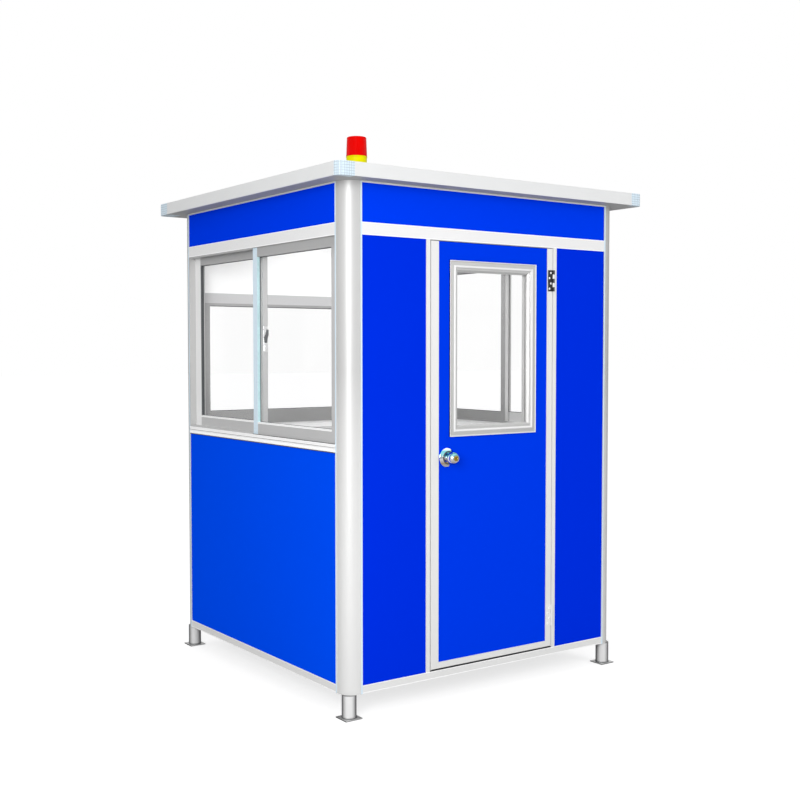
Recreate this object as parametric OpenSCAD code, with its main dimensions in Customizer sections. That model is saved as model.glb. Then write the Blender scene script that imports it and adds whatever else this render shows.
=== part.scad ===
// Security guard booth: a square cabin of sandwich panels in an aluminium frame,
// on four round legs, with an outward opening door, two sliding windows, one fixed
// rear window, a flat overhanging roof and a warning beacon.
// The origin is the middle of the footprint at ground level. The door faces -Y.

/* [Overall size] */
// Width across the two side walls
booth_w = 1500; // [1300:10:2400]
// Depth from the door face to the rear face
booth_d = 1500; // [1200:10:2400]
// Height from the threshold to the soffit
wall_h = 2012; // [1800:10:2600]
// Thickness of the frame and the walls
wall_t = 50; // [44:1:75]

/* [Base] */
// Height of the legs, from the ground to the bottom rails
leg_h = 102; // [60:1:200]
// How far the corner posts reach below the bottom rails
post_drop = 3; // [0:1:10]
// Diameter of a leg
leg_d = 60; // [40:1:68]
// Distance from a wall face to the centre of a leg
leg_inset = 36; // [34:1:42]
// Side of a leg's square foot plate
plate_w = 78; // [70:1:110]
// Thickness of a foot plate
plate_t = 5; // [3:1:10]
// Height of the bottom rails
rail_h = 32; // [28:1:60]
// Thickness of the floor deck
deck_t = 28; // [18:1:28]

/* [Corner posts] */
// Width of a corner post on each wall face
post_w = 78; // [70:1:110]
// Width of a post's flat lip
post_lip = 8; // [5:1:12]
// Step from the lip down to the round face
post_step = 2; // [1:0.5:4]

/* [Walls] */
// Set-back of the panel skins from the frame's face
panel_recess = 3; // [1:0.5:6]
// Thickness of the inner lining sheets
lining_t = 2; // [1:0.5:4]
// Height of the sill rails' underside above the threshold
sill_up = 937; // [700:1:1100]
// Height of the sill rails
sill_h = 32; // [24:1:50]
// Height of the two beads along a sill rail
sill_bead_h = 6; // [3:1:10]
// How far those beads stand proud of the wall
sill_bead_proud = 3; // [1:0.5:8]
// Height of the head rails
head_h = 50; // [30:1:80]
// Height of the fascia panels over the head rails
fascia_h = 155; // [100:1:300]
// Height of the top rails under the roof
top_rail_h = 6; // [4:1:30]
// Distance that the rear head rail lies below the others
rear_head_drop = 220; // [0:1:300]

/* [Door] */
// Distance of the door's centre line from the middle of the front
door_shift = 9; // [-40:1:40]
// Width of the door unit over its jambs
door_unit_w = 728; // [640:1:900]
// Visible width of a jamb
jamb_w = 20; // [15:1:40]
// Gap round the door leaf
leaf_gap = 5; // [5:0.5:8]
// Thickness of the door leaf
leaf_t = 40; // [30:1:42]
// Width of the leaf's stile on the knob side
latch_stile_w = 40; // [25:1:60]
// Width of the leaf's stile on the hinge side
hinge_stile_w = 31; // [25:1:60]
// Height of the leaf's bottom rail
leaf_rail_h = 29; // [20:1:80]
// Width of the door stops behind the leaf
stop_w = 14; // [10:1:25]

/* [Door window] */
// Outer width of the door window's moulding
light_w = 482; // [300:1:520]
// Outer height of the door window's moulding
light_h = 740; // [400:1:800]
// Height of the moulding's lower edge above the threshold
light_up = 981; // [900:1:1050]
// Width of the moulding
mould_w = 46; // [35:1:70]
// How far the moulding stands proud of the door
mould_proud = 9; // [5:1:14]

/* [Door hardware] */
// Distance from the leaf's edge to the knob's centre
knob_backset = 85; // [60:1:110]
// Height of the knob's centre above the threshold
knob_up = 895; // [800:1:950]
// Diameter of a knob
knob_d = 53; // [40:1:60]
// Diameter of a rosette
rosette_d = 78; // [60:1:84]
// Height of a rosette
rosette_t = 12; // [8:1:16]
// Diameter of the knob's neck
neck_d = 22; // [18:1:28]
// Radial clearance of the neck in the rosette
neck_clear = 0.08; // [0.05:0.01:0.1]
// Distance of the knob's centre from the door face
knob_reach = 42; // [38:1:55]
// Height of a hinge
hinge_h = 94; // [70:1:130]
// Width of a hinge plate
hinge_w = 24; // [15:1:26]
// Diameter of a hinge barrel
hinge_d = 10; // [8:1:14]
// Thickness of a hinge plate
hinge_t = 2; // [1:0.5:3]
// Radial clearance of a hinge pin
pin_clear = 0.08; // [0.05:0.01:0.1]
// Distance from the leaf's top to the middle of the upper hinge
hinge_down = 142; // [100:1:300]

/* [Windows] */
// Thickness of a sliding window frame's bars
win_bar = 8; // [6:1:20]
// Depth of the window frames from outside to inside
win_depth = 60; // [58:1:64]
// Set-back of the outer sash from the wall face
outer_sash_in = 6; // [3:1:7]
// Thickness of a sash
sash_t = 24; // [22:1:25]
// Gap between the two sashes
sash_gap = 1; // [0.5:0.5:2]
// Gap between the outer sash and the sill rail under it
sash_lift = 2; // [1:1:4]
// Width of the inner sash's far stile
far_stile_w = 57; // [35:1:80]
// Width of the outer sash's near stile
near_stile_w = 36; // [30:1:70]
// Width of the outer sash's meeting stile
meet_outer_w = 38; // [30:1:70]
// Width of the inner sash's meeting stile
meet_inner_w = 33; // [31:1:80]
// Distance of the outer sash's free edge past the window's centre
meet_outer_end = 21; // [-40:1:60]
// Distance that the two meeting stiles overlap
meet_overlap = 25; // [5:1:30]
// Height of the glass above the sill rail
glass_up = 55; // [40:1:80]
// Distance of the glass below the head rail
glass_down = 43; // [30:1:80]
// Thickness of the glass
glass_t = 5; // [4:1:6]
// Set-back of the glass from its sash's outer face
glass_in = 15; // [8:1:15]
// Depth of the groove that holds the glass
glass_bite = 8; // [5:1:12]
// Width of the rear window frame's sides
rear_side = 44; // [30:1:80]
// Height of the rear window frame's bottom bar
rear_bottom = 68; // [30:1:100]
// Height of the rear window frame's top bar
rear_top = 12; // [10:1:60]
// Height of the sash latch
latch_h = 115; // [80:1:160]
// Height of the sash latch's lower end above the sill rail
latch_up = 369; // [200:1:500]
// How far the sash latch stands off its stile
latch_reach = 10; // [6:1:14]

/* [Roof] */
// Overhang of the roof past the walls
roof_over = 85; // [40:1:200]
// Height of the roof's edge
roof_t = 55; // [40:1:100]
// Thickness of the roof's edge profile
edge_t = 4; // [3:1:8]
// Width of the edge profile's flanges over and under the slab
edge_flange = 30; // [15:1:50]
// Thickness of those flanges
flange_t = 3; // [2:1:5]
// Height of the bead along the edge's lower side
bead_h = 9; // [6:1:14]
// How far the bead stands proud
bead_proud = 2; // [1:0.5:4]
// Length of the corner caps along the front and rear edges
cap_w = 74; // [45:1:120]
// Length of the front corner caps along the side edges
cap_front_side = 34; // [33:1:120]
// Length of the rear corner caps along the side edges
cap_rear_side = 100; // [45:1:120]
// Corner radius of a cap
cap_r = 32; // [10:1:32]

/* [Beacon] */
// Diameter of the beacon's base
beacon_d = 82; // [60:1:120]
// Height of the beacon's base
beacon_base_h = 48; // [30:1:90]
// Height of the beacon's dome
beacon_dome_h = 76; // [40:1:120]
// How far the dome stands proud of its base
dome_proud = 1; // [0:0.5:4]
// Distance from the left wall face to the beacon's centre
beacon_in_x = 95; // [60:1:300]
// Distance from the front wall face to the beacon's centre
beacon_in_y = 64; // [60:1:300]

/* [Hidden] */
$fn = 64;

// Extra length of a cutting shape past the surface that it cuts
cut = 1;
half_w = booth_w / 2;
half_d = booth_d / 2;
// Half lengths of the infill between the posts, along X and along Y
span_x = half_w - post_w;
span_y = half_d - post_w;
post_z = leg_h - post_drop;
floor_z = leg_h + rail_h;
soffit_z = floor_z + wall_h;
sill_z = floor_z + sill_up;
win_z0 = sill_z + sill_h;
top_rail_z = soffit_z - top_rail_h;
head_z1 = top_rail_z - fascia_h;
head_z0 = head_z1 - head_h;
rear_head_z0 = head_z0 - rear_head_drop;
// Depth of the panels' core, where the lining starts
core_in = wall_t - lining_t;

// Door unit, along X and Z
door_x0 = door_shift - door_unit_w / 2;
door_x1 = door_shift + door_unit_w / 2;
leaf_x0 = door_x0 + jamb_w + leaf_gap;
leaf_x1 = door_x1 - jamb_w - leaf_gap;
leaf_z0 = floor_z + leaf_gap;
leaf_z1 = head_z0 - leaf_gap;
leaf_y0 = -half_d;
leaf_y1 = leaf_y0 + leaf_t;
skin_x0 = leaf_x0 + latch_stile_w;
skin_x1 = leaf_x1 - hinge_stile_w;
skin_z0 = leaf_z0 + leaf_rail_h;
skin_y0 = leaf_y0 + panel_recess;
skin_y1 = leaf_y1 - lining_t;
light_z0 = floor_z + light_up;
// Width of the moulding that lies on the door's skin, past the cut-out
mould_lap = 20;
mould_bevel = 14;
mould_nose = 5;
knob_x = leaf_x0 + knob_backset;
knob_z = floor_z + knob_up;
hinge_x = leaf_x1 + leaf_gap / 2;
hinge_y = leaf_y0 - hinge_d / 2;
hinge_upper_z = leaf_z1 - hinge_down;
hinge_lower_z = leaf_z0 + hinge_down;
// Knuckles of a hinge, counted from its top; odd ones are the leaf's
hinge_knuckles = 5;
knuckle_gap = 0.5;
pin_d = hinge_d * 0.5;
// Width that a hinge's jamb tabs cover on the jamb
hinge_tab_w = 6;
// Room for the spindle in the door's two sheets
spindle_play = 2;
// A rosette's straight rim, and the radius of its flat front
rosette_rim = rosette_t * 0.3;
rosette_flat_r = rosette_d * 0.36;
// A knob's ball is cut flat this far behind and in front of its middle
knob_back = knob_d * 0.42;
knob_front = knob_d * 0.38;
// How far the neck runs into the ball's front
knob_core = knob_d * 0.05;
// The beacon dome's top, as a share of its foot, and the size of its shoulder
dome_taper = 0.93;
dome_shoulder = 9;

// Windows: the outer sash is on the -y side of its wall, the inner one on the +y side
inner_sash_in = outer_sash_in + sash_t + sash_gap;
outer_z0 = win_z0 + sash_lift;
outer_z1 = head_z0 - sash_lift;
inner_z0 = win_z0 + win_bar;
inner_z1 = head_z0 - win_bar;
glass_z0 = win_z0 + glass_up;
glass_z1 = head_z0 - glass_down;
meet_inner_y1 = meet_outer_end - meet_outer_w + meet_overlap;
meet_inner_y0 = meet_inner_y1 - meet_inner_w;
// Set-back of the latch from its stile's outer face
latch_inset = 2;
latch_plate_t = 2;
crescent_d = 20;
pull_w = 8;

// A box between two corners
module block(low, high) {
    translate(low) cube(high - low);
}

// A window frame or sash: an upright ring, x is its depth and y runs along the wall
module ring(x0, x1, y0, y1, z0, z1, left, right, bottom, top) {
    difference() {
        block([x0, y0, z0], [x1, y1, z1]);
        block([x0 - cut, y0 + left, z0 + bottom], [x1 + cut, y1 - right, z1 - top]);
    }
}

// Places a wall's own frame: x is the depth from its outer face, y runs along it
module on_left() {
    translate([-half_w, 0, 0]) children();
}
module on_right() {
    mirror([1, 0, 0]) on_left() children();
}
module on_rear() {
    translate([0, half_d, 0]) rotate([0, 0, -90]) children();
}
module on_front() {
    translate([0, -half_d, 0]) rotate([0, 0, 90]) children();
}

// A rail across a wall between its posts
module wall_rail(half_span, z0, z1) {
    block([0, -half_span, z0], [wall_t, half_span, z1]);
}

// A panel's blue core between its posts
module wall_core(half_span, z0, z1) {
    block([panel_recess, -half_span, z0], [core_in, half_span, z1]);
}

// A panel's inner lining between its posts
module wall_lining(half_span, z0, z1) {
    block([core_in, -half_span, z0], [wall_t, half_span, z1]);
}

module foot() {
    translate([-plate_w / 2, -plate_w / 2, 0]) cube([plate_w, plate_w, plate_t]);
    cylinder(h = post_z, d = leg_d);
}

module feet() {
    color("silver")
        for (sx = [-1, 1], sy = [-1, 1])
            translate([sx * (half_w - leg_inset), sy * (half_d - leg_inset), 0]) foot();
}

module bottom_rails() {
    color("lightgray") {
        on_left() wall_rail(span_y, leg_h, floor_z);
        on_right() wall_rail(span_y, leg_h, floor_z);
        on_rear() wall_rail(span_x, leg_h, floor_z);
        on_front() wall_rail(span_x, leg_h, floor_z);
    }
}

// The floor fills the bottom frame, with its corners cut along the posts' inner faces
module floor_deck() {
    color("gainsboro")
        translate([0, 0, floor_z - deck_t])
            linear_extrude(deck_t)
                intersection() {
                    square([booth_w - 2 * wall_t, booth_d - 2 * wall_t], center = true);
                    difference() {
                        square([booth_w, booth_d], center = true);
                        for (sx = [0, 1], sy = [0, 1])
                            mirror([sx, 0]) mirror([0, sy])
                                translate([-half_w, -half_d]) post_notch();
                    }
                }
}

// The corner that a post takes up, seen from above, with its outer corner at the origin
module post_notch() {
    difference() {
        square(post_w);
        post_inner_cut();
    }
}

module post_inner_cut() {
    polygon([[post_w + cut, wall_t - cut], [post_w + cut, post_w + cut], [wall_t - cut, post_w + cut]]);
}

// A quarter round face between two flat lips
module post_profile() {
    round_w = post_w - post_lip;
    difference() {
        union() {
            intersection() {
                square(round_w);
                translate([round_w, round_w]) circle(r = round_w - post_step);
            }
            translate([round_w, 0]) square([post_lip, post_w]);
            translate([0, round_w]) square([post_w, post_lip]);
        }
        post_inner_cut();
    }
}

module corner_posts() {
    color("lightgray")
        for (right = [0, 1], rear = [0, 1])
            mirror([right, 0, 0]) mirror([0, rear, 0])
                translate([-half_w, -half_d, post_z])
                    linear_extrude(soffit_z - post_z) post_profile();
}

module head_rails() {
    color("whitesmoke") {
        on_left() wall_rail(span_y, head_z0, head_z1);
        on_right() wall_rail(span_y, head_z0, head_z1);
        on_front() wall_rail(span_x, head_z0, head_z1);
        on_rear() wall_rail(span_x, rear_head_z0, rear_head_z0 + head_h);
    }
}

module top_rails() {
    color("lightgray") {
        on_left() wall_rail(span_y, top_rail_z, soffit_z);
        on_right() wall_rail(span_y, top_rail_z, soffit_z);
        on_front() wall_rail(span_x, top_rail_z, soffit_z);
        on_rear() wall_rail(span_x, top_rail_z, soffit_z);
    }
}

module fascia_panels() {
    color("blue") {
        on_left() wall_core(span_y, head_z1, top_rail_z);
        on_right() wall_core(span_y, head_z1, top_rail_z);
        on_front() wall_core(span_x, head_z1, top_rail_z);
        on_rear() wall_core(span_x, rear_head_z0 + head_h, top_rail_z);
    }
}

module lower_wall_left() {
    color("blue") on_left() wall_core(span_y, floor_z, sill_z);
}
module lower_wall_right() {
    color("blue") on_right() wall_core(span_y, floor_z, sill_z);
}
module lower_wall_rear() {
    color("blue") on_rear() wall_core(span_x, floor_z, sill_z);
}

module front_wall_left() {
    color("blue")
        block([-span_x, -half_d + panel_recess, floor_z], [door_x0, -half_d + core_in, head_z0]);
}
module front_wall_right() {
    color("blue")
        block([door_x1, -half_d + panel_recess, floor_z], [span_x, -half_d + core_in, head_z0]);
}

module inner_lining() {
    color("white") {
        on_left() wall_lining(span_y, floor_z, sill_z);
        on_left() wall_lining(span_y, head_z1, top_rail_z);
        on_right() wall_lining(span_y, floor_z, sill_z);
        on_right() wall_lining(span_y, head_z1, top_rail_z);
        on_rear() wall_lining(span_x, floor_z, sill_z);
        on_rear() wall_lining(span_x, rear_head_z0 + head_h, top_rail_z);
        on_front() wall_lining(span_x, head_z1, top_rail_z);
        block([-span_x, -half_d + core_in, floor_z], [door_x0, -half_d + wall_t, head_z0]);
        block([door_x1, -half_d + core_in, floor_z], [span_x, -half_d + wall_t, head_z0]);
    }
}

module door_jambs() {
    color("lightgray") {
        block([door_x0, -half_d, floor_z], [door_x0 + jamb_w, -half_d + wall_t, head_z0]);
        block([door_x1 - jamb_w, -half_d, floor_z], [door_x1, -half_d + wall_t, head_z0]);
    }
}

// Strips on the inner side of the doorway that the leaf closes against
module door_stops() {
    stop_y0 = leaf_y1 + leaf_gap;
    stop_y1 = -half_d + wall_t + stop_w / 2;
    in_x0 = door_x0 + jamb_w;
    in_x1 = door_x1 - jamb_w;
    color("lightgray") {
        block([in_x0, stop_y0, floor_z], [in_x0 + stop_w, stop_y1, head_z0]);
        block([in_x1 - stop_w, stop_y0, floor_z], [in_x1, stop_y1, head_z0]);
        block([in_x0 + stop_w + cut, stop_y0, head_z0 - stop_w], [in_x1 - stop_w - cut, stop_y1, head_z0]);
    }
}

// A sill rail with a bead along its upper and its lower outer edge
module window_sill(half_span) {
    wall_rail(half_span, sill_z, win_z0);
    block([-sill_bead_proud, -half_span, sill_z], [cut, half_span, sill_z + sill_bead_h]);
    block([-sill_bead_proud, -half_span, win_z0 - sill_bead_h], [cut, half_span, win_z0]);
}
module window_sills() {
    color("lightgray") {
        on_left() window_sill(span_y);
        on_right() window_sill(span_y);
        on_rear() window_sill(span_x);
    }
}

// The frame of a sliding window, with the outer sash's place cut out of it
module sliding_frame() {
    difference() {
        ring(0, win_depth, -span_y, span_y, win_z0, head_z0, win_bar, win_bar, win_bar, win_bar);
        block([-cut, -span_y - cut, outer_z0], [outer_sash_in + sash_t, meet_outer_end, outer_z1]);
    }
}
module window_frame_left() {
    color("silver") on_left() sliding_frame();
}
module window_frame_right() {
    color("silver") on_right() sliding_frame();
}
module window_frame_rear() {
    color("silver") on_rear()
        difference() {
            ring(0, win_depth, -span_x, span_x, win_z0, rear_head_z0,
                rear_side, rear_side, rear_bottom, rear_top);
            rear_pane();
        }
}

module outer_sash() {
    difference() {
        ring(outer_sash_in, outer_sash_in + sash_t, -span_y, meet_outer_end, outer_z0, outer_z1,
            near_stile_w, meet_outer_w, glass_z0 - outer_z0, outer_z1 - glass_z1);
        outer_pane();
    }
}
module inner_sash() {
    difference() {
        ring(inner_sash_in, inner_sash_in + sash_t, meet_inner_y0, span_y - win_bar, inner_z0, inner_z1,
            meet_inner_w, far_stile_w, glass_z0 - inner_z0, inner_z1 - glass_z1);
        inner_pane();
    }
}
// A pane that covers an opening and reaches into the grooves round it
module pane(x0, y0, y1, z0, z1) {
    block([x0, y0 - glass_bite, z0 - glass_bite], [x0 + glass_t, y1 + glass_bite, z1 + glass_bite]);
}
module outer_pane() {
    pane(outer_sash_in + glass_in, -span_y + near_stile_w, meet_outer_end - meet_outer_w, glass_z0, glass_z1);
}
module inner_pane() {
    pane(inner_sash_in + glass_in, meet_inner_y1, span_y - win_bar - far_stile_w, glass_z0, glass_z1);
}
module rear_pane() {
    pane((wall_t - glass_t) / 2, -span_x + rear_side, span_x - rear_side,
        win_z0 + rear_bottom, rear_head_z0 - rear_top);
}
module outer_sash_left() {
    color("silver") on_left() outer_sash();
}
module inner_sash_left() {
    color("silver") on_left() inner_sash();
}
module outer_sash_right() {
    color("silver") on_right() outer_sash();
}
module inner_sash_right() {
    color("silver") on_right() inner_sash();
}
module glass_left() {
    color("lightcyan", 0.4) on_left() {
        outer_pane();
        inner_pane();
    }
}
module glass_right() {
    color("lightcyan", 0.4) on_right() {
        outer_pane();
        inner_pane();
    }
}
module glass_rear() {
    color("lightcyan", 0.4) on_rear() rear_pane();
}

// A latch on the near side of the left inner sash's meeting stile: plate, crescent and pull
latch_x0 = inner_sash_in + latch_inset;
latch_x1 = inner_sash_in + sash_t;
latch_z0 = win_z0 + latch_up;
latch_z1 = latch_z0 + latch_h;
module sash_latch() {
    crescent_x = (latch_x0 + latch_x1) / 2;
    color("silver") on_left() {
        block([latch_x0, meet_inner_y0 - latch_plate_t, latch_z0], [latch_x1, meet_inner_y0, latch_z1]);
        translate([crescent_x, meet_inner_y0, latch_z1 - crescent_d / 2])
            rotate([90, 0, 0]) cylinder(h = latch_reach, d = crescent_d);
        block([crescent_x - pull_w / 2, meet_inner_y0 - latch_reach + latch_plate_t, latch_z0 + pull_w],
            [crescent_x + pull_w / 2, meet_inner_y0, latch_z1 - crescent_d]);
    }
}

// Roof slab with notches for the corner caps
roof_half_w = half_w + roof_over;
roof_half_d = half_d + roof_over;
module roof_panel() {
    slab_half_w = roof_half_w - edge_t;
    slab_half_d = roof_half_d - edge_t;
    color("gainsboro")
        translate([0, 0, soffit_z])
            linear_extrude(roof_t - flange_t)
                difference() {
                    square([2 * slab_half_w, 2 * slab_half_d], center = true);
                    for (sx = [0, 1])
                        mirror([sx, 0]) {
                            translate([-roof_half_w, -roof_half_d]) square([cap_w, cap_front_side]);
                            translate([-roof_half_w, roof_half_d - cap_rear_side])
                                square([cap_w, cap_rear_side]);
                        }
                }
}

// Edge profile: an upright face with a bead at its foot and a flange over the slab
module edge_profile() {
    square([edge_t, roof_t]);
    translate([-bead_proud, 0]) square([bead_proud + edge_t, bead_h]);
    translate([0, roof_t - flange_t]) square([edge_t + edge_flange, flange_t]);
}
// An edge along the left side of a roof whose half width is given, between two y positions
module roof_edge(half_width, y0, y1) {
    translate([-half_width, y1, soffit_z])
        rotate([90, 0, 0])
            linear_extrude(y1 - y0) edge_profile();
}
module roof_edges() {
    cross_half = roof_half_w - cap_w;
    color("lightgray") {
        for (sx = [0, 1])
            mirror([sx, 0, 0])
                roof_edge(roof_half_w, -roof_half_d + cap_front_side, roof_half_d - cap_rear_side);
        rotate([0, 0, 90]) roof_edge(roof_half_d, -cross_half, cross_half);
        rotate([0, 0, -90]) roof_edge(roof_half_d, -cross_half, cross_half);
    }
}

// A corner cap seen from above, with its corner at the origin
module cap_profile(side) {
    intersection() {
        square([cap_w, side]);
        union() {
            translate([cap_r, cap_r]) circle(r = cap_r);
            translate([cap_r, 0]) square([cap_w, side]);
            translate([0, cap_r]) square([cap_w, side]);
        }
    }
}
module roof_corner_caps() {
    color("lightblue")
        for (sx = [0, 1])
            mirror([sx, 0, 0])
                translate([-roof_half_w, 0, soffit_z]) {
                    translate([0, -roof_half_d, 0])
                        linear_extrude(roof_t) cap_profile(cap_front_side);
                    translate([0, roof_half_d, 0]) mirror([0, 1, 0])
                        linear_extrude(roof_t) cap_profile(cap_rear_side);
                }
}

// Beacon on the roof slab near the front left corner
beacon_z = soffit_z + roof_t - flange_t;
module at_beacon() {
    translate([-half_w + beacon_in_x, -half_d + beacon_in_y, beacon_z]) children();
}
module beacon_base() {
    color("yellow") at_beacon() cylinder(h = beacon_base_h + flange_t, d = beacon_d);
}
module beacon_dome() {
    dome_r = beacon_d / 2 + dome_proud;
    top_r = dome_r * dome_taper;
    // Where the shoulder's chamfer starts and ends
    side_z = beacon_dome_h - dome_shoulder;
    knee = dome_shoulder / 3;
    color("red") at_beacon()
        translate([0, 0, beacon_base_h + flange_t])
            rotate_extrude()
                polygon([[0, 0], [dome_r, 0], [top_r, side_z],
                    [top_r - knee, beacon_dome_h - knee],
                    [top_r - dome_shoulder, beacon_dome_h], [0, beacon_dome_h]]);
}

// Hinges: z is the middle of one; knuckles alternate between the leaf and the jamb
knuckle_h = hinge_h / hinge_knuckles;
module at_hinge(z) {
    color("dimgray") translate([hinge_x, hinge_y, z - hinge_h / 2]) children();
}
module knuckles(first) {
    for (k = [first : 2 : hinge_knuckles - 1])
        translate([0, 0, k * knuckle_h + knuckle_gap / 2])
            cylinder(h = knuckle_h - knuckle_gap, d = hinge_d);
}
module hinge_leaf() {
    difference() {
        union() {
            knuckles(0);
            for (k = [0 : 2 : hinge_knuckles - 1])
                translate([-hinge_d / 2 - cut, 0, k * knuckle_h + knuckle_gap / 2])
                    cube([hinge_d / 2, hinge_d / 2, knuckle_h - knuckle_gap]);
            translate([-hinge_d / 2 - hinge_w, hinge_d / 2 - hinge_t, 0])
                cube([hinge_w, hinge_t, hinge_h]);
        }
        translate([0, 0, -cut]) cylinder(h = hinge_h + 2 * cut, d = pin_d + 2 * pin_clear);
    }
}
// The pin with the jamb's knuckles, whose tabs lie on the jamb
module hinge_pin() {
    cylinder(h = hinge_h, d = pin_d);
    knuckles(1);
    for (k = [1 : 2 : hinge_knuckles - 1])
        translate([0, hinge_d / 2 - hinge_t, k * knuckle_h + knuckle_gap / 2])
            cube([leaf_gap / 2 + hinge_tab_w, hinge_t, knuckle_h - knuckle_gap]);
}
module upper_hinge_pin() {
    at_hinge(hinge_upper_z) hinge_pin();
}
module lower_hinge_pin() {
    at_hinge(hinge_lower_z) hinge_pin();
}
module upper_hinge_leaf() {
    at_hinge(hinge_upper_z) hinge_leaf();
}
module lower_hinge_leaf() {
    at_hinge(hinge_lower_z) hinge_leaf();
}

module door_frame() {
    color("lightgray") {
        block([leaf_x0, leaf_y0, leaf_z0], [skin_x0, leaf_y1, leaf_z1]);
        block([skin_x1, leaf_y0, leaf_z0], [leaf_x1, leaf_y1, leaf_z1]);
        block([skin_x0 - cut, leaf_y0, leaf_z0], [skin_x1 + cut, leaf_y1, skin_z0]);
    }
}

// The door window's rectangle, drawn in by a margin on every side
module light_block(y0, y1, margin) {
    block([door_shift - light_w / 2 + margin, y0, light_z0 + margin],
        [door_shift + light_w / 2 - margin, y1, light_z0 + light_h - margin]);
}
module spindle_hole() {
    translate([knob_x, leaf_y1 + cut, knob_z]) rotate([90, 0, 0])
        cylinder(h = leaf_t + 2 * cut, d = neck_d + 2 * spindle_play);
}
module door_panel() {
    color("blue")
        difference() {
            block([skin_x0, skin_y0, skin_z0], [skin_x1, skin_y1, leaf_z1]);
            light_block(skin_y0 - cut, skin_y1 + cut, mould_lap);
            spindle_hole();
        }
}
module door_lining() {
    color("white")
        difference() {
            block([skin_x0, skin_y1, skin_z0], [skin_x1, leaf_y1, leaf_z1]);
            light_block(skin_y1 - cut, leaf_y1 + cut, mould_lap);
            spindle_hole();
        }
}
module door_window_frame() {
    color("silver")
        difference() {
            union() {
                hull() {
                    light_block(skin_y0 - mould_nose, skin_y0, 0);
                    light_block(skin_y0 - mould_proud, skin_y0, mould_bevel);
                }
                light_block(skin_y0 - cut, leaf_y1 + cut, mould_lap);
                light_block(leaf_y1, leaf_y1 + mould_nose, 0);
            }
            light_block(skin_y0 - 2 * mould_proud, leaf_y1 + 2 * mould_proud, mould_w);
            door_pane();
        }
}
module door_pane() {
    mid_y = (skin_y0 + leaf_y1) / 2;
    light_block(mid_y - glass_t / 2, mid_y + glass_t / 2, mould_w - glass_bite);
}
module door_glass() {
    color("lightcyan", 0.4) door_pane();
}

// Knob set: y runs out of the door's face, towards whoever holds the knob
module at_knob_outside() {
    translate([knob_x, skin_y0, knob_z]) rotate([90, 0, 0]) children();
}
module at_knob_inside() {
    translate([knob_x, leaf_y1, knob_z]) rotate([-90, 0, 0]) children();
}
module rosette() {
    difference() {
        rotate_extrude()
            polygon([[0, 0], [rosette_d / 2, 0], [rosette_d / 2, rosette_rim],
                [rosette_flat_r, rosette_t], [0, rosette_t]]);
        translate([0, 0, -cut]) cylinder(h = rosette_t + 2 * cut, d = neck_d + 2 * neck_clear);
    }
}
module knob_rosettes() {
    color("silver") {
        at_knob_outside() rosette();
        at_knob_inside() rosette();
    }
}
module knob_half() {
    cylinder(h = knob_reach + knob_core, d = neck_d);
    translate([0, 0, knob_reach])
        intersection() {
            sphere(d = knob_d);
            block([-knob_d, -knob_d, -knob_back], [knob_d, knob_d, knob_front]);
        }
}
module door_knob() {
    color("silver") {
        at_knob_outside() knob_half();
        at_knob_inside() knob_half();
        translate([knob_x, leaf_y1 + cut, knob_z]) rotate([90, 0, 0])
            cylinder(h = leaf_t - panel_recess + 2 * cut, d = neck_d);
    }
}

feet();
bottom_rails();
floor_deck();
corner_posts();
head_rails();
top_rails();
fascia_panels();
lower_wall_left();
lower_wall_right();
lower_wall_rear();
front_wall_left();
front_wall_right();
inner_lining();
door_jambs();
door_stops();
window_sills();
window_frame_left();
window_frame_right();
window_frame_rear();
outer_sash_left();
inner_sash_left();
outer_sash_right();
inner_sash_right();
glass_left();
glass_right();
glass_rear();
sash_latch();
roof_panel();
roof_edges();
roof_corner_caps();
beacon_base();
beacon_dome();
upper_hinge_pin();
lower_hinge_pin();
upper_hinge_leaf();
lower_hinge_leaf();
door_frame();
door_panel();
door_lining();
door_window_frame();
door_glass();
knob_rosettes();
door_knob();
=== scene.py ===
"""Looks of the security guard booth: finishes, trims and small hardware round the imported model."""

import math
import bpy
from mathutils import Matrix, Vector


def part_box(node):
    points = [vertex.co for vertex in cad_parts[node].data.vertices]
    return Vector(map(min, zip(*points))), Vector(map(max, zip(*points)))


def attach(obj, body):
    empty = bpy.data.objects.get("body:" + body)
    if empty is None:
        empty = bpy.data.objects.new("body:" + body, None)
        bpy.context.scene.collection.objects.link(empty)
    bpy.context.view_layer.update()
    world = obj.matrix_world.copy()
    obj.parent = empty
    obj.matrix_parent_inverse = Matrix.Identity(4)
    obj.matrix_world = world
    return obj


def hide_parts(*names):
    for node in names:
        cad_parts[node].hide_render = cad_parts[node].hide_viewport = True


bl_info = {
    "name": "Security guard booth",
    "version": (1, 0, 0),
    "blender": (4, 5, 0),
    "location": "View3D > Sidebar > Booth",
    "description": "Finishes, trims, small hardware and a studio for the guard booth",
    "category": "Object",
}

import bmesh
import bpy
from mathutils import Matrix, Vector

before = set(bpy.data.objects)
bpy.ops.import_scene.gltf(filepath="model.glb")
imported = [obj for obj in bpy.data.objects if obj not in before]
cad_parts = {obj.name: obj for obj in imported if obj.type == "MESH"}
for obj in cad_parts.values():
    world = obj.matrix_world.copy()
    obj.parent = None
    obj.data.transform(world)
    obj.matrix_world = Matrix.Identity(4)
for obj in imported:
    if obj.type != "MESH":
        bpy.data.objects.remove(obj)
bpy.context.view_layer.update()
MM = 0.001  # one millimetre in metres
SINK = 1 * MM  # how deep an added strip sinks into the piece that it lies on
WHITE = (1, 1, 1)
ALONG_Z = (1, 1, 0.02)  # stretch of the grain on upright bars


def srgb(red, green, blue):
    """A linear colour from the 0 to 255 values of a paint chart."""
    parts = [value / 255 for value in (red, green, blue)]
    return tuple(p / 12.92 if p <= 0.04045 else ((p + 0.055) / 1.055) ** 2.4 for p in parts)


# ---------------------------------------------------------------- settings


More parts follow.
